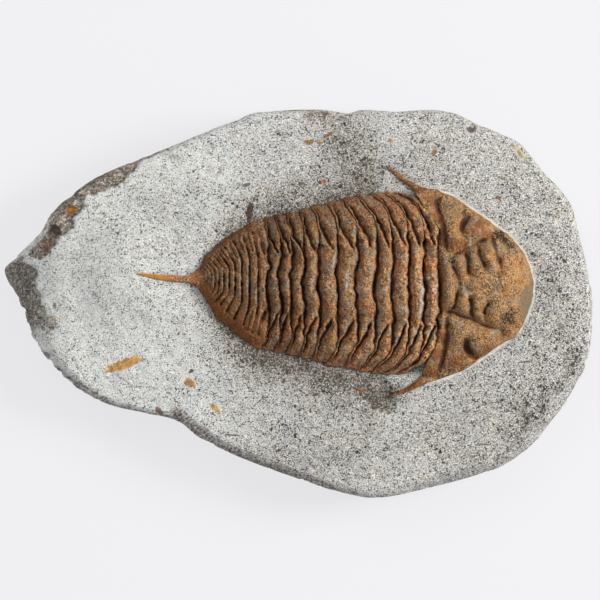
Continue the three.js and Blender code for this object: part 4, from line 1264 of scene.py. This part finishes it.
def slab_top(inset, marks):
    """The points and masks of the rows on the top: straight lines from an ellipse under the
    fossil to the rim, closer together at the rim, which drops a little."""
    even = np.linspace(0, 1, TOP_ROWS)[:, None]
    top_share = 1 - (1 - even) ** 1.15
    under_angle = np.arctan2(edge_line_y * UNDER_HALF_X / UNDER_HALF_Y * 0.9, edge_line_x)
    under_x = SHELL_MIDDLE[0] + UNDER_HALF_X * np.cos(under_angle)
    under_y = SHELL_MIDDLE[1] + UNDER_HALF_Y * np.sin(under_angle)
    rim = 1 - inset / edge_reach
    x = mix(under_x, edge_line_x * rim, top_share)
    y = mix(under_y, edge_line_y * rim, top_share)
    z, distance, crust, band, stain_and_shade = rock_height(x, y)
    z = z - RIM_DROP * smooth(0.975, 1, top_share)
    masks = {
        "crust": crust,
        "band": band,
        "comb": band * marks["combed"],
        "along": marks["along"] + 0 * z,
        # Stains, and painted shade by the shell
        "stain_and_shade": stain_and_shade,
        # Whitish rim round the head: fresh-worked rock with a painted highlight
        "halo_and_highlight": bell(distance - 0.1, 0.32) * smooth(24, 31, x),
        "bevel": marks["bevel"] * smooth(0.98, 1.0, top_share),
    }
    return np.stack([x, y, z], -1), masks


def slab_sides(inset, marks, rim_height, rim_band):
    """The points and masks of the rows down the sides, from the rim to the foot: they bulge by
    the inset to the widest outline and lean in again to the foot. Lumps and chips push them
    in, along lines to the middle."""
    side = np.linspace(0, 1, SIDE_ROWS + 1)[1:, None] ** 0.9
    down = mix(rim_height, 0.0, side)
    above = np.clip((rim_height - down) / (0.35 + 1.1 * inset), 0, 1)
    foot = smooth(FOOT_HEIGHT, 0, down)
    belly = inset * (1 - above) ** 1.3 + FOOT_INSET * foot**2
    lumps = rough(edge_line_x, edge_line_y, down, 4.0, 101, 4)
    jagged = mix(0.5, 1.3, smooth(-42, -50, edge_line_x) * smooth(10, 6, edge_line_y))
    chips = jagged * rough(edge_line_x, edge_line_y, 0.5 * down, 1.3, 103, 2)
    push = np.clip(0.20 + LUMP_PUSH * lumps + chips, 0, 3) * smooth(0, 0.25, side) * mix(1, 0.4, foot)
    inward = 1 - (belly + push) / edge_reach
    patches = rough(edge_line_x, edge_line_y, down, 9.0, 105, 4)
    weathered = mix(through(RIM_CRUST, edge_angle), 0.45, smooth(0.25, 0.9, side + 0.4 * patches))
    weathered = weathered + 0.5 * patches * smooth(0, 0.3, side)
    none = 0 * weathered
    masks = {
        "crust": weathered,
        "band": mix(rim_band, weathered, smooth(0.1, 0.4, side)),
        "comb": rim_band * marks["combed"] * smooth(0.3, 0.0, side),
        "along": marks["along"] + none,
        "stain_and_shade": none,
        "halo_and_highlight": none,
        "bevel": marks["bevel"] * smooth(0.5, 0.2, side),
    }
    return np.stack([edge_line_x * inward, edge_line_y * inward, down], -1), masks


def slab():
    """The rock: rings of points from under the fossil out over the top and down the sides,
    closed by a fan to a hub under the fossil and another to the middle of the base."""
    inset = through(TOP_INSET, edge_angle) * (1 + 0.2 * rough(edge_line_x, edge_line_y, 0.0, 3.0, 91))
    marks = {
        "combed": smooth(-44, -40, edge_line_x) * mix(1, 0.6, smooth(-34, -30, edge_line_x)),
        "along": np.linspace(0, edge_length, SLAB_STEPS, endpoint=False) / COMB_PITCH,
        "bevel": smooth(1.2, 2.2, inset) * smooth(-100, -60, edge_angle) * smooth(10, -10, edge_angle),
    }
    top, top_masks = slab_top(inset, marks)
    sides, side_masks = slab_sides(inset, marks, top[-1, :, 2], top_masks["band"][-1])
    rows = TOP_ROWS + SIDE_ROWS
    index = np.arange(rows * SLAB_STEPS).reshape(rows, SLAB_STEPS)
    ahead = np.roll(index, -1, axis=1)
    quads = np.stack([index[:-1], index[1:], ahead[1:], ahead[:-1]], -1).reshape(-1, 4)
    hub, base = rows * SLAB_STEPS, rows * SLAB_STEPS + 1
    lid = np.stack([index[0], ahead[0], np.full(SLAB_STEPS, hub)], -1)
    sole = np.stack([ahead[-1], index[-1], np.full(SLAB_STEPS, base)], -1)
    fan_middles = [[*SHELL_MIDDLE, BED - HUB_DEPTH], [0, 0, 0]]
    points = np.concatenate([np.vstack([top, sides]).reshape(-1, 3), fan_middles])
    masks = {label: np.vstack([values, side_masks[label]]) for label, values in top_masks.items()}
    masks = {label: np.concatenate([values.ravel(), [0, 0]]) for label, values in masks.items()}
    return new_piece("slab", points, quads, np.concatenate([lid, sole]), masks)


rock = slab()

# %% [markdown]
# A node material is a tree of small steps. It could be wired by hand in the shader editor, but
# as text it can be read, checked and made again. So a small class adds the nodes, and its short
# names keep a finish readable: a mask, a grain, a step, one colour laid over another.

# %% Helpers for node materials


class Finish:
    """A material's nodes, added and joined by short calls, and the colour laid so far."""

    def __init__(self, name):
        """A new material with its shader, and the place in Object coordinates."""
        self.material = bpy.data.materials.new(name)
        self.material.use_nodes = True
        self.tree = self.material.node_tree
        self.shader = self.tree.nodes["Principled BSDF"]
        self.place = self.add("ShaderNodeTexCoord").outputs["Object"]
        self.colour = None

    def add(self, kind, **values):
        """A node of that kind, with its own settings."""
        node = self.tree.nodes.new(kind)
        for name, value in values.items():
            setattr(node, name, value)
        return node

    def put(self, socket, value):
        """Sets a socket to a number or colour, or joins it to another socket."""
        if isinstance(value, bpy.types.NodeSocket):
            self.tree.links.new(value, socket)
        else:
            socket.default_value = value

    def mask(self, name):
        """A vertex mask of the mesh, by its name, and 0 where the mesh has none."""
        return self.add("ShaderNodeAttribute", attribute_name=name).outputs["Fac"]

    def math(self, how, a, b=0.0):
        """One Math node over two numbers or sockets, or over the first of them."""
        node = self.add("ShaderNodeMath", operation=how)
        self.put(node.inputs[0], a)
        self.put(node.inputs[1], b)
        return node.outputs[0]

    def plus(self, a, b):
        """The sum of two numbers or sockets."""
        return self.math("ADD", a, b)

    def less(self, a, b):
        """The first less the second."""
        return self.math("SUBTRACT", a, b)

    def times(self, a, b):
        """One times the other."""
        return self.math("MULTIPLY", a, b)

    def larger(self, a, b):
        """The larger of the two."""
        return self.math("MAXIMUM", a, b)

    def step(self, value, start, end, low=0.0, high=1.0):
        """Runs smoothly from low to high as the value goes from start to end."""
        node = self.add("ShaderNodeMapRange", interpolation_type="SMOOTHSTEP")
        for socket, number in zip(node.inputs, (value, start, end, low, high)):
            self.put(socket, number)
        return node.outputs[0]

    def moved(self, aside):
        """The place in Object coordinates, moved so that one noise doesn't repeat another."""
        node = self.add("ShaderNodeMapping")
        self.put(node.inputs["Vector"], self.place)
        node.inputs["Location"].default_value = (aside * MM, 0.7 * aside * MM, 1.3 * aside * MM)
        return node.outputs[0]

    def noise(self, place, scale, detail, roughness=0.5):
        """A noise node with `scale` lumps a metre, and `detail` finer noises added to them."""
        node = self.add("ShaderNodeTexNoise")
        self.put(node.inputs["Vector"], place)
        node.inputs["Scale"].default_value = scale
        node.inputs["Detail"].default_value = detail
        node.inputs["Roughness"].default_value = roughness
        return node

    def grain(self, size, detail=3.0, roughness=0.55, aside=0.0):
        """Noise from 0 to 1, about 0.5, whose features are about `size` millimetres across."""
        return self.noise(self.moved(aside), 1 / (size * MM), detail, roughness).outputs["Fac"]

    def patches(self, size, detail, aside, start, end):
        """Grain cut off: 0 where it is at start and 1 where it is at end, or beyond them."""
        return self.step(self.grain(size, detail, 0.6, aside), start, end)

    def grains(self, size, share, aside=0.0):
        """1 inside scattered ragged grains and 0 between them. Space, bent a little by noise, is
        cut into cells of about `size` millimetres; each has a random number, and the higher it
        is above one minus the share, the wider is the grain in the middle of the cell."""
        place = self.moved(aside)
        bent = self.add("ShaderNodeVectorMath", operation="MULTIPLY_ADD")
        self.put(bent.inputs[0], self.noise(place, 1.2 / (size * MM), 2.0).outputs["Color"])
        self.put(bent.inputs[1], (1.1 * size * MM,) * 3)
        self.put(bent.inputs[2], place)
        cells = self.add("ShaderNodeTexVoronoi")
        self.put(cells.inputs["Vector"], bent.outputs[0])
        cells.inputs["Scale"].default_value = 1 / (size * MM)
        parts = self.add("ShaderNodeSeparateColor")
        self.put(parts.inputs[0], cells.outputs["Color"])
        luck = self.less(self.plus(parts.outputs[0], share), 1.0)
        wide = self.step(luck, 0.0, 0.5, -0.12, 0.50)
        return self.step(self.less(wide, cells.outputs["Distance"]), -0.08, 0.12)

    def blend(self, share, under, over, most=1.0):
        """The colour under where the share is 0, and as much as `most` of the one over at 1.
        Each is a socket, or red, green and blue as display values from 0 to 255."""
        if most < 1:
            share = self.times(share, most)
        node = self.add("ShaderNodeMix", data_type="RGBA")
        self.put(node.inputs["Factor"], share)
        sockets = [socket for socket in node.inputs if socket.type == "RGBA"]
        for socket, colour in zip(sockets, (under, over)):
            self.put(socket, tint(*colour) if isinstance(colour, tuple) else colour)
        return node.outputs[2]

    def lay(self, share, over, most=1.0):
        """Lays one more colour over the finish."""
        self.colour = self.blend(share, self.colour, over, most)

    def bump(self, height, millimetres, strength):
        """Tilts the shading as if the surface rose by that height, in millimetres at 1."""
        node = self.add("ShaderNodeBump")
        node.inputs["Strength"].default_value = strength
        node.inputs["Distance"].default_value = millimetres * MM
        self.put(node.inputs["Height"], height)
        self.put(self.shader.inputs["Normal"], node.outputs[0])


def tint(red, green, blue):
    """A colour given as display values from 0 to 255, as linear light."""
    value = np.array([red, green, blue]) / 255
    linear = np.where(value <= 0.04045, value / 12.92, ((value + 0.055) / 1.055) ** 2.4)
    return (*(float(part) for part in linear), 1.0)


print("middle grey in linear light:", np.round(tint(128, 128, 128), 3))

# %% [markdown]
# The fossil is iron-stained: dark brown in the furrows, tan on worn ridges, with rust, ochre
# and grey-green blotches and a pepper of dark grains. The dark of the furrows is oxide and
# painted shade together, and the tan of the ridges is wear and a painted highlight. A picture
# could be wrapped round it, but it would smear on the steep flanks and show its pixels close
# up. So flat colours are laid over each other by the masks that the meshes carry and by noise
# in Object coordinates, and a bump adds the grain that is finer than the meshes. One material
# serves all the pieces, so the colours run on across them.

# %% The fossil's finish
# Every colour is red, green and blue as display values
UMBER = (96, 56, 34)
TAN = (178, 120, 74)
WORN_TAN_AND_HIGHLIGHT = (222, 178, 124)
HEAD_OCHRE = (194, 118, 44)
BODY_RUST = (172, 90, 34)
LIVER_RED = (118, 44, 24)
ORANGE = (196, 102, 34)
HEAD_SAND = (176, 154, 116)
BODY_ASH = (160, 153, 144)
HEAD_STAIN_AND_SHADE = (70, 58, 46)
CREAM = (244, 206, 158)
PALE_CREAM = (252, 220, 180)
FINE_CREAM = (248, 212, 166)
DARK_GRAIN = (48, 23, 12)
DARK_PIT = (42, 22, 13)
DARK_DOT = (46, 22, 12)
RUST_FILM = (148, 84, 24)
CHALK_WHITE = (210, 204, 192)
WHITE_STREAK_AND_GLINT = (206, 208, 210)
GROOVE_OXIDE_AND_SHADE = (68, 36, 20)
BAND_GREYS = ((138, 123, 101), (160, 141, 117))
SPINE_TIP_OCHRES = ((168, 112, 48), (196, 146, 78))
BLOTCHES = [
    # size in millimetres, detail, aside, the grain where it starts and is full, colour, most
    (2.4, 4.0, 83, 0.53, 0.59, (150, 141, 126), 0.82), (1.6, 3.0, 37, 0.55, 0.64, (72, 46, 30), 0.60),
]
MASK_COLOURS = [
    # mask, colour, and how much of it there is where the mask is 1
    ("gold", (206, 142, 66), 0.5), ("greenish", (134, 120, 92), 0.62), ("rust", (162, 80, 28), 0.60),
    ("outer", (126, 62, 26), 0.62), ("facet", (116, 92, 80), 0.5),
]
WARMTH = (0.99, 0.94, 0.86)


def shell_browns(paint, middle, body):
    """Umber and tan by noise, paler ridges, from wear and a painted highlight, rust, liver red,
    grey and dark blotches, then the stains by their masks, the dark ones in places painted
    shade, and small orange and greyish spots."""
    paint.colour = paint.blend(paint.step(middle, 0.40, 0.60), UMBER, TAN)
    # Paler ridges: wear, and a painted highlight on the crests
    paint.lay(paint.mask("ridge"), WORN_TAN_AND_HIGHLIGHT, 0.46)
    paint.lay(paint.patches(2.8, 4.0, 31, 0.47, 0.58), paint.blend(body, HEAD_OCHRE, BODY_RUST), 0.72)
    red = paint.times(paint.patches(1.2, 3.0, 57, 0.53, 0.62), paint.step(body, 0.0, 1.0, 0.45, 1.0))
    paint.lay(red, LIVER_RED, 0.62)
    for *patch_shape, colour, most in BLOTCHES:
        paint.lay(paint.patches(*patch_shape), colour, most)
    for name, colour, most in MASK_COLOURS:
        paint.lay(paint.mask(name), colour, most)
    paint.lay(paint.patches(0.50, 2.0, 97, 0.54, 0.63), ORANGE, 0.32)
    paint.lay(paint.patches(0.60, 2.0, 71, 0.54, 0.62), paint.blend(body, HEAD_SAND, BODY_ASH), 0.38)
    # Dark stains, which in pits and furrows are painted shade as well
    paint.lay(paint.mask("stain"), HEAD_STAIN_AND_SHADE, 0.75)


def shell_grains(paint, fine, finest, shield, body):
    """Cream grains, fewer off the ridges, so that on the crests they add to the painted highlight,
    then dark grains, pits and dots. They crowd where the shell is pitted, the grains also on dark
    stains, and the pits all over the body. The finest of both kinds are crisper on the head."""
    crisp = paint.step(shield, 0.0, 1.0, 0.6, 1.0)
    pitted = paint.step(paint.grain(1.6, 3.0, 0.6, 87), 0.43, 0.59, 0.12, 1.0)
    # Cream grains gathered on the crests: the mineral's grain and a painted highlight
    light = paint.times(paint.step(fine, 0.51, 0.62), paint.step(paint.mask("ridge"), 0.0, 1.0, 0.45, 1.0))
    paint.lay(light, CREAM, 0.58)
    paint.lay(paint.grains(0.40, 0.30, 21), PALE_CREAM, 0.68)
    paint.lay(paint.times(paint.step(finest, 0.54, 0.62), crisp), FINE_CREAM, 0.62)
    stain = paint.mask("stain")
    dark = paint.step(paint.less(paint.grain(0.40, 2.0, 0.6, 19), paint.times(stain, 0.11)), 0.46, 0.37)
    paint.lay(paint.times(dark, paint.larger(pitted, stain)), DARK_GRAIN, 0.90)
    paint.lay(paint.times(paint.grains(0.46, 0.34, 61), paint.larger(pitted, body)), DARK_PIT, 0.82)
    paint.lay(paint.times(paint.times(paint.step(finest, 0.46, 0.38), crisp), pitted), DARK_DOT, 0.85)


def shell_markings(paint, middle):
    """A film of rust over the grains, chalk along the back, the smooth band at the head's
    front, the bright tip of the tail spine and the whitish streaks: chalk on the body, and on the
    head whitish mineral with painted glints at the eyes."""
    paint.lay(paint.mask("rust"), RUST_FILM, 0.50)
    chalk = paint.times(paint.mask("flecks"), paint.step(paint.grain(0.6, 3.0, 0.65, 43), 0.54, 0.62))
    paint.lay(chalk, CHALK_WHITE, 0.7)
    paint.lay(paint.mask("band"), paint.blend(middle, *BAND_GREYS), 0.85)
    paint.lay(paint.mask("bright"), paint.blend(middle, *SPINE_TIP_OCHRES))
    # Whitish streaks: chalk, and painted glints on the eyes
    paint.lay(paint.times(paint.mask("pale"), paint.patches(0.5, 3.0, 91, 0.40, 0.56)), WHITE_STREAK_AND_GLINT, 0.7)


def shell_tone(paint, fine):
    """The colour times the tone mask and the warmth, with dark brown in the grooves and pits,
    iron oxide and painted shade together, whose edge the fine noise frays."""
    toned = paint.add("ShaderNodeVectorMath", operation="SCALE")
    paint.put(toned.inputs[0], paint.colour)
    paint.put(toned.inputs["Scale"], paint.mask("tone"))
    warmed = paint.add("ShaderNodeVectorMath", operation="MULTIPLY")
    paint.put(warmed.inputs[0], toned.outputs[0])
    warmed.inputs[1].default_value = WARMTH
    paint.colour = warmed.outputs[0]
    # Painted shade with iron oxide in the grooves and pits
    deep = paint.step(paint.plus(paint.mask("sunk"), paint.times(paint.less(fine, 0.5), 0.7)), 0.15, 0.85)
    paint.lay(deep, GROOVE_OXIDE_AND_SHADE, 0.86)


def fossil_finish():
    """The browns, the grains, the markings and the tone, laid over each other. The noise also
    varies the roughness, and the two finest noises are bumps, stronger on the head."""
    paint = Finish("fossil_shell")
    middle = paint.grain(1.2, 4.0, 0.62)
    fine = paint.grain(0.36, 2.0, 0.6)
    finest = paint.grain(0.21, 1.0, 0.6, 13)
    shield = paint.mask("shield")
    body = paint.less(1.0, shield)
    shell_browns(paint, middle, body)
    shell_grains(paint, fine, finest, shield, body)
    shell_markings(paint, middle)
    shell_tone(paint, fine)
    paint.put(paint.shader.inputs["Base Color"], paint.colour)
    paint.put(paint.shader.inputs["Roughness"], paint.step(middle, 0.3, 0.7, 0.5, 0.78))
    paint.shader.inputs["Specular IOR Level"].default_value = 0.20
    height = paint.plus(paint.times(fine, 0.8), paint.times(finest, 0.6))
    paint.bump(paint.times(height, paint.step(shield, 0.0, 1.0, 1.0, 1.35)), 0.35, 1.0)
    return paint.material


shell_material = fossil_finish()
print(shell_material.name, len(shell_material.node_tree.nodes), "nodes")

# %% [markdown]
# The rock is a pale fine limestone full of dark and cream grains. The grains could be tiny
# stones scattered over it, but thousands of them would be heavy and no better to look at. Noise
# cut off at a threshold gives the pepper: a few dark grains where it is cut high, and a dense
# speckle where it is cut low, near the fossil and to the right. The crust is brown-grey. Scraps
# of other shells are flat stains, each an ellipse on the plan with a ragged edge.

# %% Scraps and cracks in the rock
SCRAPS = [
    # X, Y, half-length, half-width, turn in degrees, and colour
    (-35.6, -12.4, 3.9, 1.0, 21, (198, 142, 58)), (-22.1, -16.3, 1.2, 0.80, -30, (176, 118, 44)),
    (-21.9, -13.8, 0.6, 0.45, 30, (84, 74, 72)), (-46.5, 19.2, 1.2, 1.0, 30, (168, 106, 36)),
    (-52.0, 11.6, 2.0, 1.1, 50, (118, 76, 42)), (-50.2, 14.9, 1.8, 1.4, 30, (64, 50, 50)),
    (-17.0, -21.4, 1.1, 0.5, -38, (196, 150, 60)), (-9.9, 18.7, 2.1, 0.72, 85, (66, 38, 20)),
    (12.0, -17.5, 1.0, 0.26, -36, (112, 74, 38)), (13.2, -17.7, 0.9, 0.34, 20, (124, 84, 46)),
    (11.9, -15.7, 0.6, 0.2, -20, (120, 86, 54)), (2.3, 33.1, 0.9, 0.55, 0, (132, 90, 48)),
    (4.5, 32.9, 0.6, 0.3, 0, (150, 100, 56)), (6.1, 34.6, 1.2, 0.35, 30, (128, 88, 52)),
    (5.3, 25.1, 0.5, 0.5, 0, (160, 108, 66)), (18.9, 33.3, 0.6, 0.45, -20, (176, 132, 86)),
    (27.9, 31.1, 0.6, 0.5, 15, (170, 120, 76)), (41.0, 21.7, 0.7, 0.4, 0, (124, 84, 66)),
    (35.5, 35.6, 0.9, 0.6, 0, (84, 78, 76)), (45.4, 31.0, 1.9, 0.6, -44, (190, 176, 146)),
    (38.1, -28.8, 0.9, 0.18, -6, (116, 88, 62)), (46.3, -11.9, 1.3, 0.16, 8, (90, 82, 78)),
    (-28.4, -22.0, 1.0, 0.5, -40, (124, 90, 70)), (-23.8, -23.2, 1.3, 0.6, -38, (118, 92, 76)),
    (-10.6, 24.3, 1.0, 0.35, 20, (104, 102, 104)), (3.6, -18.6, 0.8, 0.3, 20, (124, 92, 66)),
    (-13.5, -26.9, 1.9, 0.18, -6, (112, 96, 72)), (0.6, 24.6, 0.5, 0.4, 0, (96, 88, 78)),
]
CRACKS = [
    [(-37.7, -14.4), (-33.8, -16.9), (-28.3, -17.3), (-21.3, -17.5), (-15.8, -19.1), (-10.0, -21.6)],
    [(-8.6, -25.7), (-6.4, -26.9), (-0.2, -25.5), (3.9, -25.3)],
]
CRACK_HALF_WIDTH = 0.17


def ellipse(paint, plan, ragged, x, y, half_long, half_wide, turn):
    """1 inside an ellipse on the plan and 0 outside: the length of the place measured in its
    half-axes, with ragged noise added, cut off at 1."""
    place = paint.add("ShaderNodeMapping", vector_type="TEXTURE")
    paint.put(place.inputs["Vector"], plan)
    place.inputs["Location"].default_value = (x * MM, y * MM, 0)
    place.inputs["Rotation"].default_value = (0, 0, np.radians(turn))
    place.inputs["Scale"].default_value = (half_long * MM, half_wide * MM, 1)
    reach = paint.add("ShaderNodeVectorMath", operation="LENGTH")
    paint.put(reach.inputs[0], place.outputs[0])
    return paint.step(paint.plus(reach.outputs["Value"], ragged), 1.15, 0.85)


def crack(paint, plan, ragged, line):
    """1 along a thin line: the greatest of its segments' long thin ellipses."""
    total = 0.0
    for (ax, ay), (bx, by) in zip(line, line[1:]):
        half = np.hypot(bx - ax, by - ay) / 2 + 0.3
        turn = np.degrees(np.arctan2(by - ay, bx - ax))
        x, y = (ax + bx) / 2, (ay + by) / 2
        total = paint.larger(total, ellipse(paint, plan, ragged, x, y, half, CRACK_HALF_WIDTH, turn))
    return total


print(len(SCRAPS), "scraps and", len(CRACKS), "cracks")

# %% The rock's finish
LEFT_SPECKLE = (-34 * MM, 4 * MM)
RIGHT_SPECKLE = (18 * MM, 46 * MM)
BROWN_SIDE = (4 * MM, 14 * MM)
WHITE_HEIGHTS = (4 * MM, 12 * MM)
TOP_HEIGHTS = (11 * MM, 12.5 * MM)
# Every colour is red, green and blue as display values
PALE_GREY = (200, 201, 197)
SPECKLED_GREY = (162, 160, 155)
SMOKE_GREY = (142, 141, 140)
BEVEL_GREY = (146, 147, 148)
CLOUDS = [
    # size in millimetres, detail, aside, the grain where it starts and is full, colour, most
    (7.0, 4.0, 5, 0.40, 0.66, (160, 162, 167), 0.3), (3.0, 4.0, 15, 0.50, 0.66, (186, 176, 156), 0.25),
]
DULL_CRUSTS = ((72, 61, 49), (76, 60, 49))
WEATHERED_CRUSTS = ((122, 110, 94), (132, 112, 93))
CRUST_PATCH = (58, 49, 42)
CRUST_WHITE = (214, 207, 196)
CRUST_BLACK = (40, 33, 30)
CRACK_GREY = (104, 100, 96)
TAN_FLECK = (178, 158, 122)
WHITE_FLECK = (240, 239, 233)
BLOTCH_GREY = (110, 102, 92)
COARSE_GRAIN = (42, 36, 32)
SPECK = (46, 40, 36)
PEPPER = (46, 43, 41)
ROCK_STAIN_AND_SHADE = (90, 80, 68)
HALO_AND_HIGHLIGHT_WHITES = ((206, 200, 190), (230, 226, 218))
COMB_STRIPES = ((62, 56, 51), (190, 184, 176))


def pale_rock(paint, dense, middle):
    """Pale grey, darker where the speckle is dense, with wide faint clouds."""
    paint.colour = paint.blend(paint.step(dense, 0.0, 1.6), PALE_GREY, SPECKLED_GREY)
    for *cloud_shape, colour, most in CLOUDS:
        paint.lay(paint.patches(*cloud_shape), colour, most)
    paint.lay(paint.step(middle, 0.48, 0.68), SMOKE_GREY, 0.25)
    paint.lay(paint.mask("bevel"), BEVEL_GREY, 0.25)


def rock_crust(paint, middle, flecks, y, z):
    """The brown-grey crust, mottled, with white flecks that are fewer low on the sides, and
    black ones. It has its own ragged edge. Returns how far each place is on it."""
    brown = paint.step(y, *BROWN_SIDE)
    dull = paint.blend(brown, *DULL_CRUSTS)
    weathered = paint.blend(brown, *WEATHERED_CRUSTS)
    crusty = paint.blend(paint.patches(2.4, 4.0, 65, 0.42, 0.58), dull, weathered)
    crusty = paint.blend(paint.step(paint.grain(1.3, 4.0, 0.65, 29), 0.50, 0.60), crusty, CRUST_PATCH, 0.5)
    high = paint.step(z, *WHITE_HEIGHTS, 0.55, 1.0)
    crusty = paint.blend(paint.times(paint.step(flecks, 0.52, 0.60), high), crusty, CRUST_WHITE, 0.72)
    crusty = paint.blend(paint.step(flecks, 0.48, 0.42), crusty, CRUST_BLACK, 0.88)
    frayed = paint.times(paint.less(paint.plus(flecks, middle), 1.0), 1.5)
    crust = paint.step(paint.plus(paint.mask("crust"), frayed), 0.30, 0.70)
    paint.lay(crust, crusty, 0.92)
    return crust


def rock_grains(paint, dense, stain_and_shade, crust):
    """Tan and white flecks, then dark grains of three sizes, more of them where the shift is
    large: where the speckle is dense, on stained and shaded rock by the shell and by slow noise.
    Last a brown over that rock, which is stain and painted shade. Returns the coarsest."""
    paint.lay(paint.patches(0.8, 3.0, 27, 0.55, 0.66), TAN_FLECK, 0.35)
    white = paint.times(paint.patches(0.24, 2.0, 25, 0.51, 0.63), paint.step(crust, 0.0, 1.0, 1.0, 0.3))
    paint.lay(white, WHITE_FLECK, 0.68)
    uneven = paint.times(paint.less(paint.grain(3.6, 4.0, 0.65, 95), 0.5), 0.18)
    shift = paint.plus(paint.plus(paint.times(dense, 0.024), paint.times(stain_and_shade, 0.062)), uneven)
    paint.lay(paint.step(paint.plus(paint.grain(1.1, 3.0, 0.6, 33), shift), 0.56, 0.70), BLOTCH_GREY, 0.4)
    coarse = paint.grains(0.85, paint.plus(paint.times(shift, 3.0), 0.24), 35)
    paint.lay(coarse, COARSE_GRAIN, 0.94)
    paint.lay(paint.step(paint.plus(paint.grain(0.42, 1.0, 0.6, 35), shift), 0.63, 0.69), SPECK, 0.92)
    paint.lay(paint.step(paint.plus(paint.grain(0.24, 1.0, 0.6, 45), shift), 0.59, 0.66), PEPPER, 0.90)
    # Brown over stained rock by the shell, with painted shade
    paint.lay(stain_and_shade, ROCK_STAIN_AND_SHADE, 0.38)
    return coarse


def rock_scraps(paint, plan, ragged, mottled, z):
    """The scraps of other shells, each in its own colour and a darker one. They lie on the top
    alone, so they fade out down the sides."""
    on_top = paint.step(z, *TOP_HEIGHTS)
    for *place, shade in SCRAPS:
        scrap = paint.times(ellipse(paint, plan, ragged, *place), on_top)
        darker = tuple(0.66 * part for part in shade)
        paint.lay(scrap, paint.blend(paint.step(mottled, 0.43, 0.57), darker, shade), 0.88)


def rock_edges(paint, middle, flecks):
    """The whitish rim round the head, chalky fresh-worked rock with a painted highlight on it,
    and the combed band along the edge, whose light and dark stripes are a sine of the distance
    along it, broken up by noise."""
    # Whitish rim round the head: chalky rock and a painted highlight
    paint.lay(paint.mask("halo_and_highlight"), paint.blend(middle, *HALO_AND_HIGHLIGHT_WHITES), 0.8)
    teeth = paint.times(paint.math("SINE", paint.times(paint.mask("along"), 2 * np.pi)), paint.mask("comb"))
    teeth = paint.times(teeth, paint.step(middle, 0.40, 0.60, 0.2, 1.0))
    spotty = paint.times(paint.less(flecks, 0.5), 5.0)
    stripe = paint.step(paint.plus(spotty, paint.times(teeth, 0.55)), -0.5, 0.6)
    paint.lay(paint.step(paint.mask("band"), 0.2, 0.7), paint.blend(stripe, *COMB_STRIPES), 0.85)


def rock_finish():
    """The pale rock, its crust, cracks, grains, scraps and edges, laid over each other. `plan`
    is the place without its height, and `dense` says where the speckle is."""
    paint = Finish("speckled_limestone")
    parts = paint.add("ShaderNodeSeparateXYZ")
    paint.put(parts.inputs[0], paint.place)
    x, y, z = parts.outputs
    flat = paint.add("ShaderNodeCombineXYZ")
    paint.put(flat.inputs[0], x)
    paint.put(flat.inputs[1], y)
    plan = flat.outputs[0]
    ragged = paint.times(paint.less(paint.grain(0.7), 0.5), 1.6)
    stain_and_shade = paint.mask("stain_and_shade")
    dense = paint.plus(paint.step(x, *LEFT_SPECKLE), paint.step(x, *RIGHT_SPECKLE, 0.0, 0.75))
    # Stained rock by the shell is darker and more speckled; part of the dark is painted shade
    dense = paint.plus(dense, paint.times(stain_and_shade, 1.5))
    middle = paint.grain(1.8, 4.0, 0.6)
    flecks = paint.grain(0.70, 5.0, 0.80, 55)
    pale_rock(paint, dense, middle)
    crust = rock_crust(paint, middle, flecks, y, z)
    for line in CRACKS:
        paint.lay(crack(paint, plan, ragged, line), CRACK_GREY, 0.5)
    coarse = rock_grains(paint, dense, stain_and_shade, crust)
    mottled = paint.plus(paint.times(middle, 0.5), paint.times(flecks, 0.5))
    rock_scraps(paint, plan, ragged, mottled, z)
    rock_edges(paint, middle, flecks)
    paint.put(paint.shader.inputs["Base Color"], paint.colour)
    paint.shader.inputs["Roughness"].default_value = 0.92
    paint.shader.inputs["Specular IOR Level"].default_value = 0.2
    paint.bump(paint.less(paint.grain(0.45, 4.0, 0.7, 75), paint.times(coarse, 0.4)), 0.14, 0.8)
    return paint.material


rock_material = rock_finish()
print(rock_material.name, len(rock_material.node_tree.nodes), "nodes")

# %% [markdown]
# A fossil has no joints left, so the part has one body. The dressed pieces could be one joined
# mesh, but kept apart each can be taken for its solid. Each rides on that body, stands for its
# solid, and gets the shell's or the rock's finish.

# %% Dress the frame
dressed = [(head, "head_shield"), (tail, "tail_shield")]
dressed += [(ring_piece, f"body_ring_{number:02d}") for number, ring_piece in enumerate(rings, 1)]
for piece, node in dressed:
    piece.data.materials.append(shell_material)
    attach(piece, "root")
    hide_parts(node)
rock.data.materials.append(rock_material)
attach(rock, "root")
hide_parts("rock_matrix")
print(len(dressed) + 1, "pieces stand for", len(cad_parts), "solids")
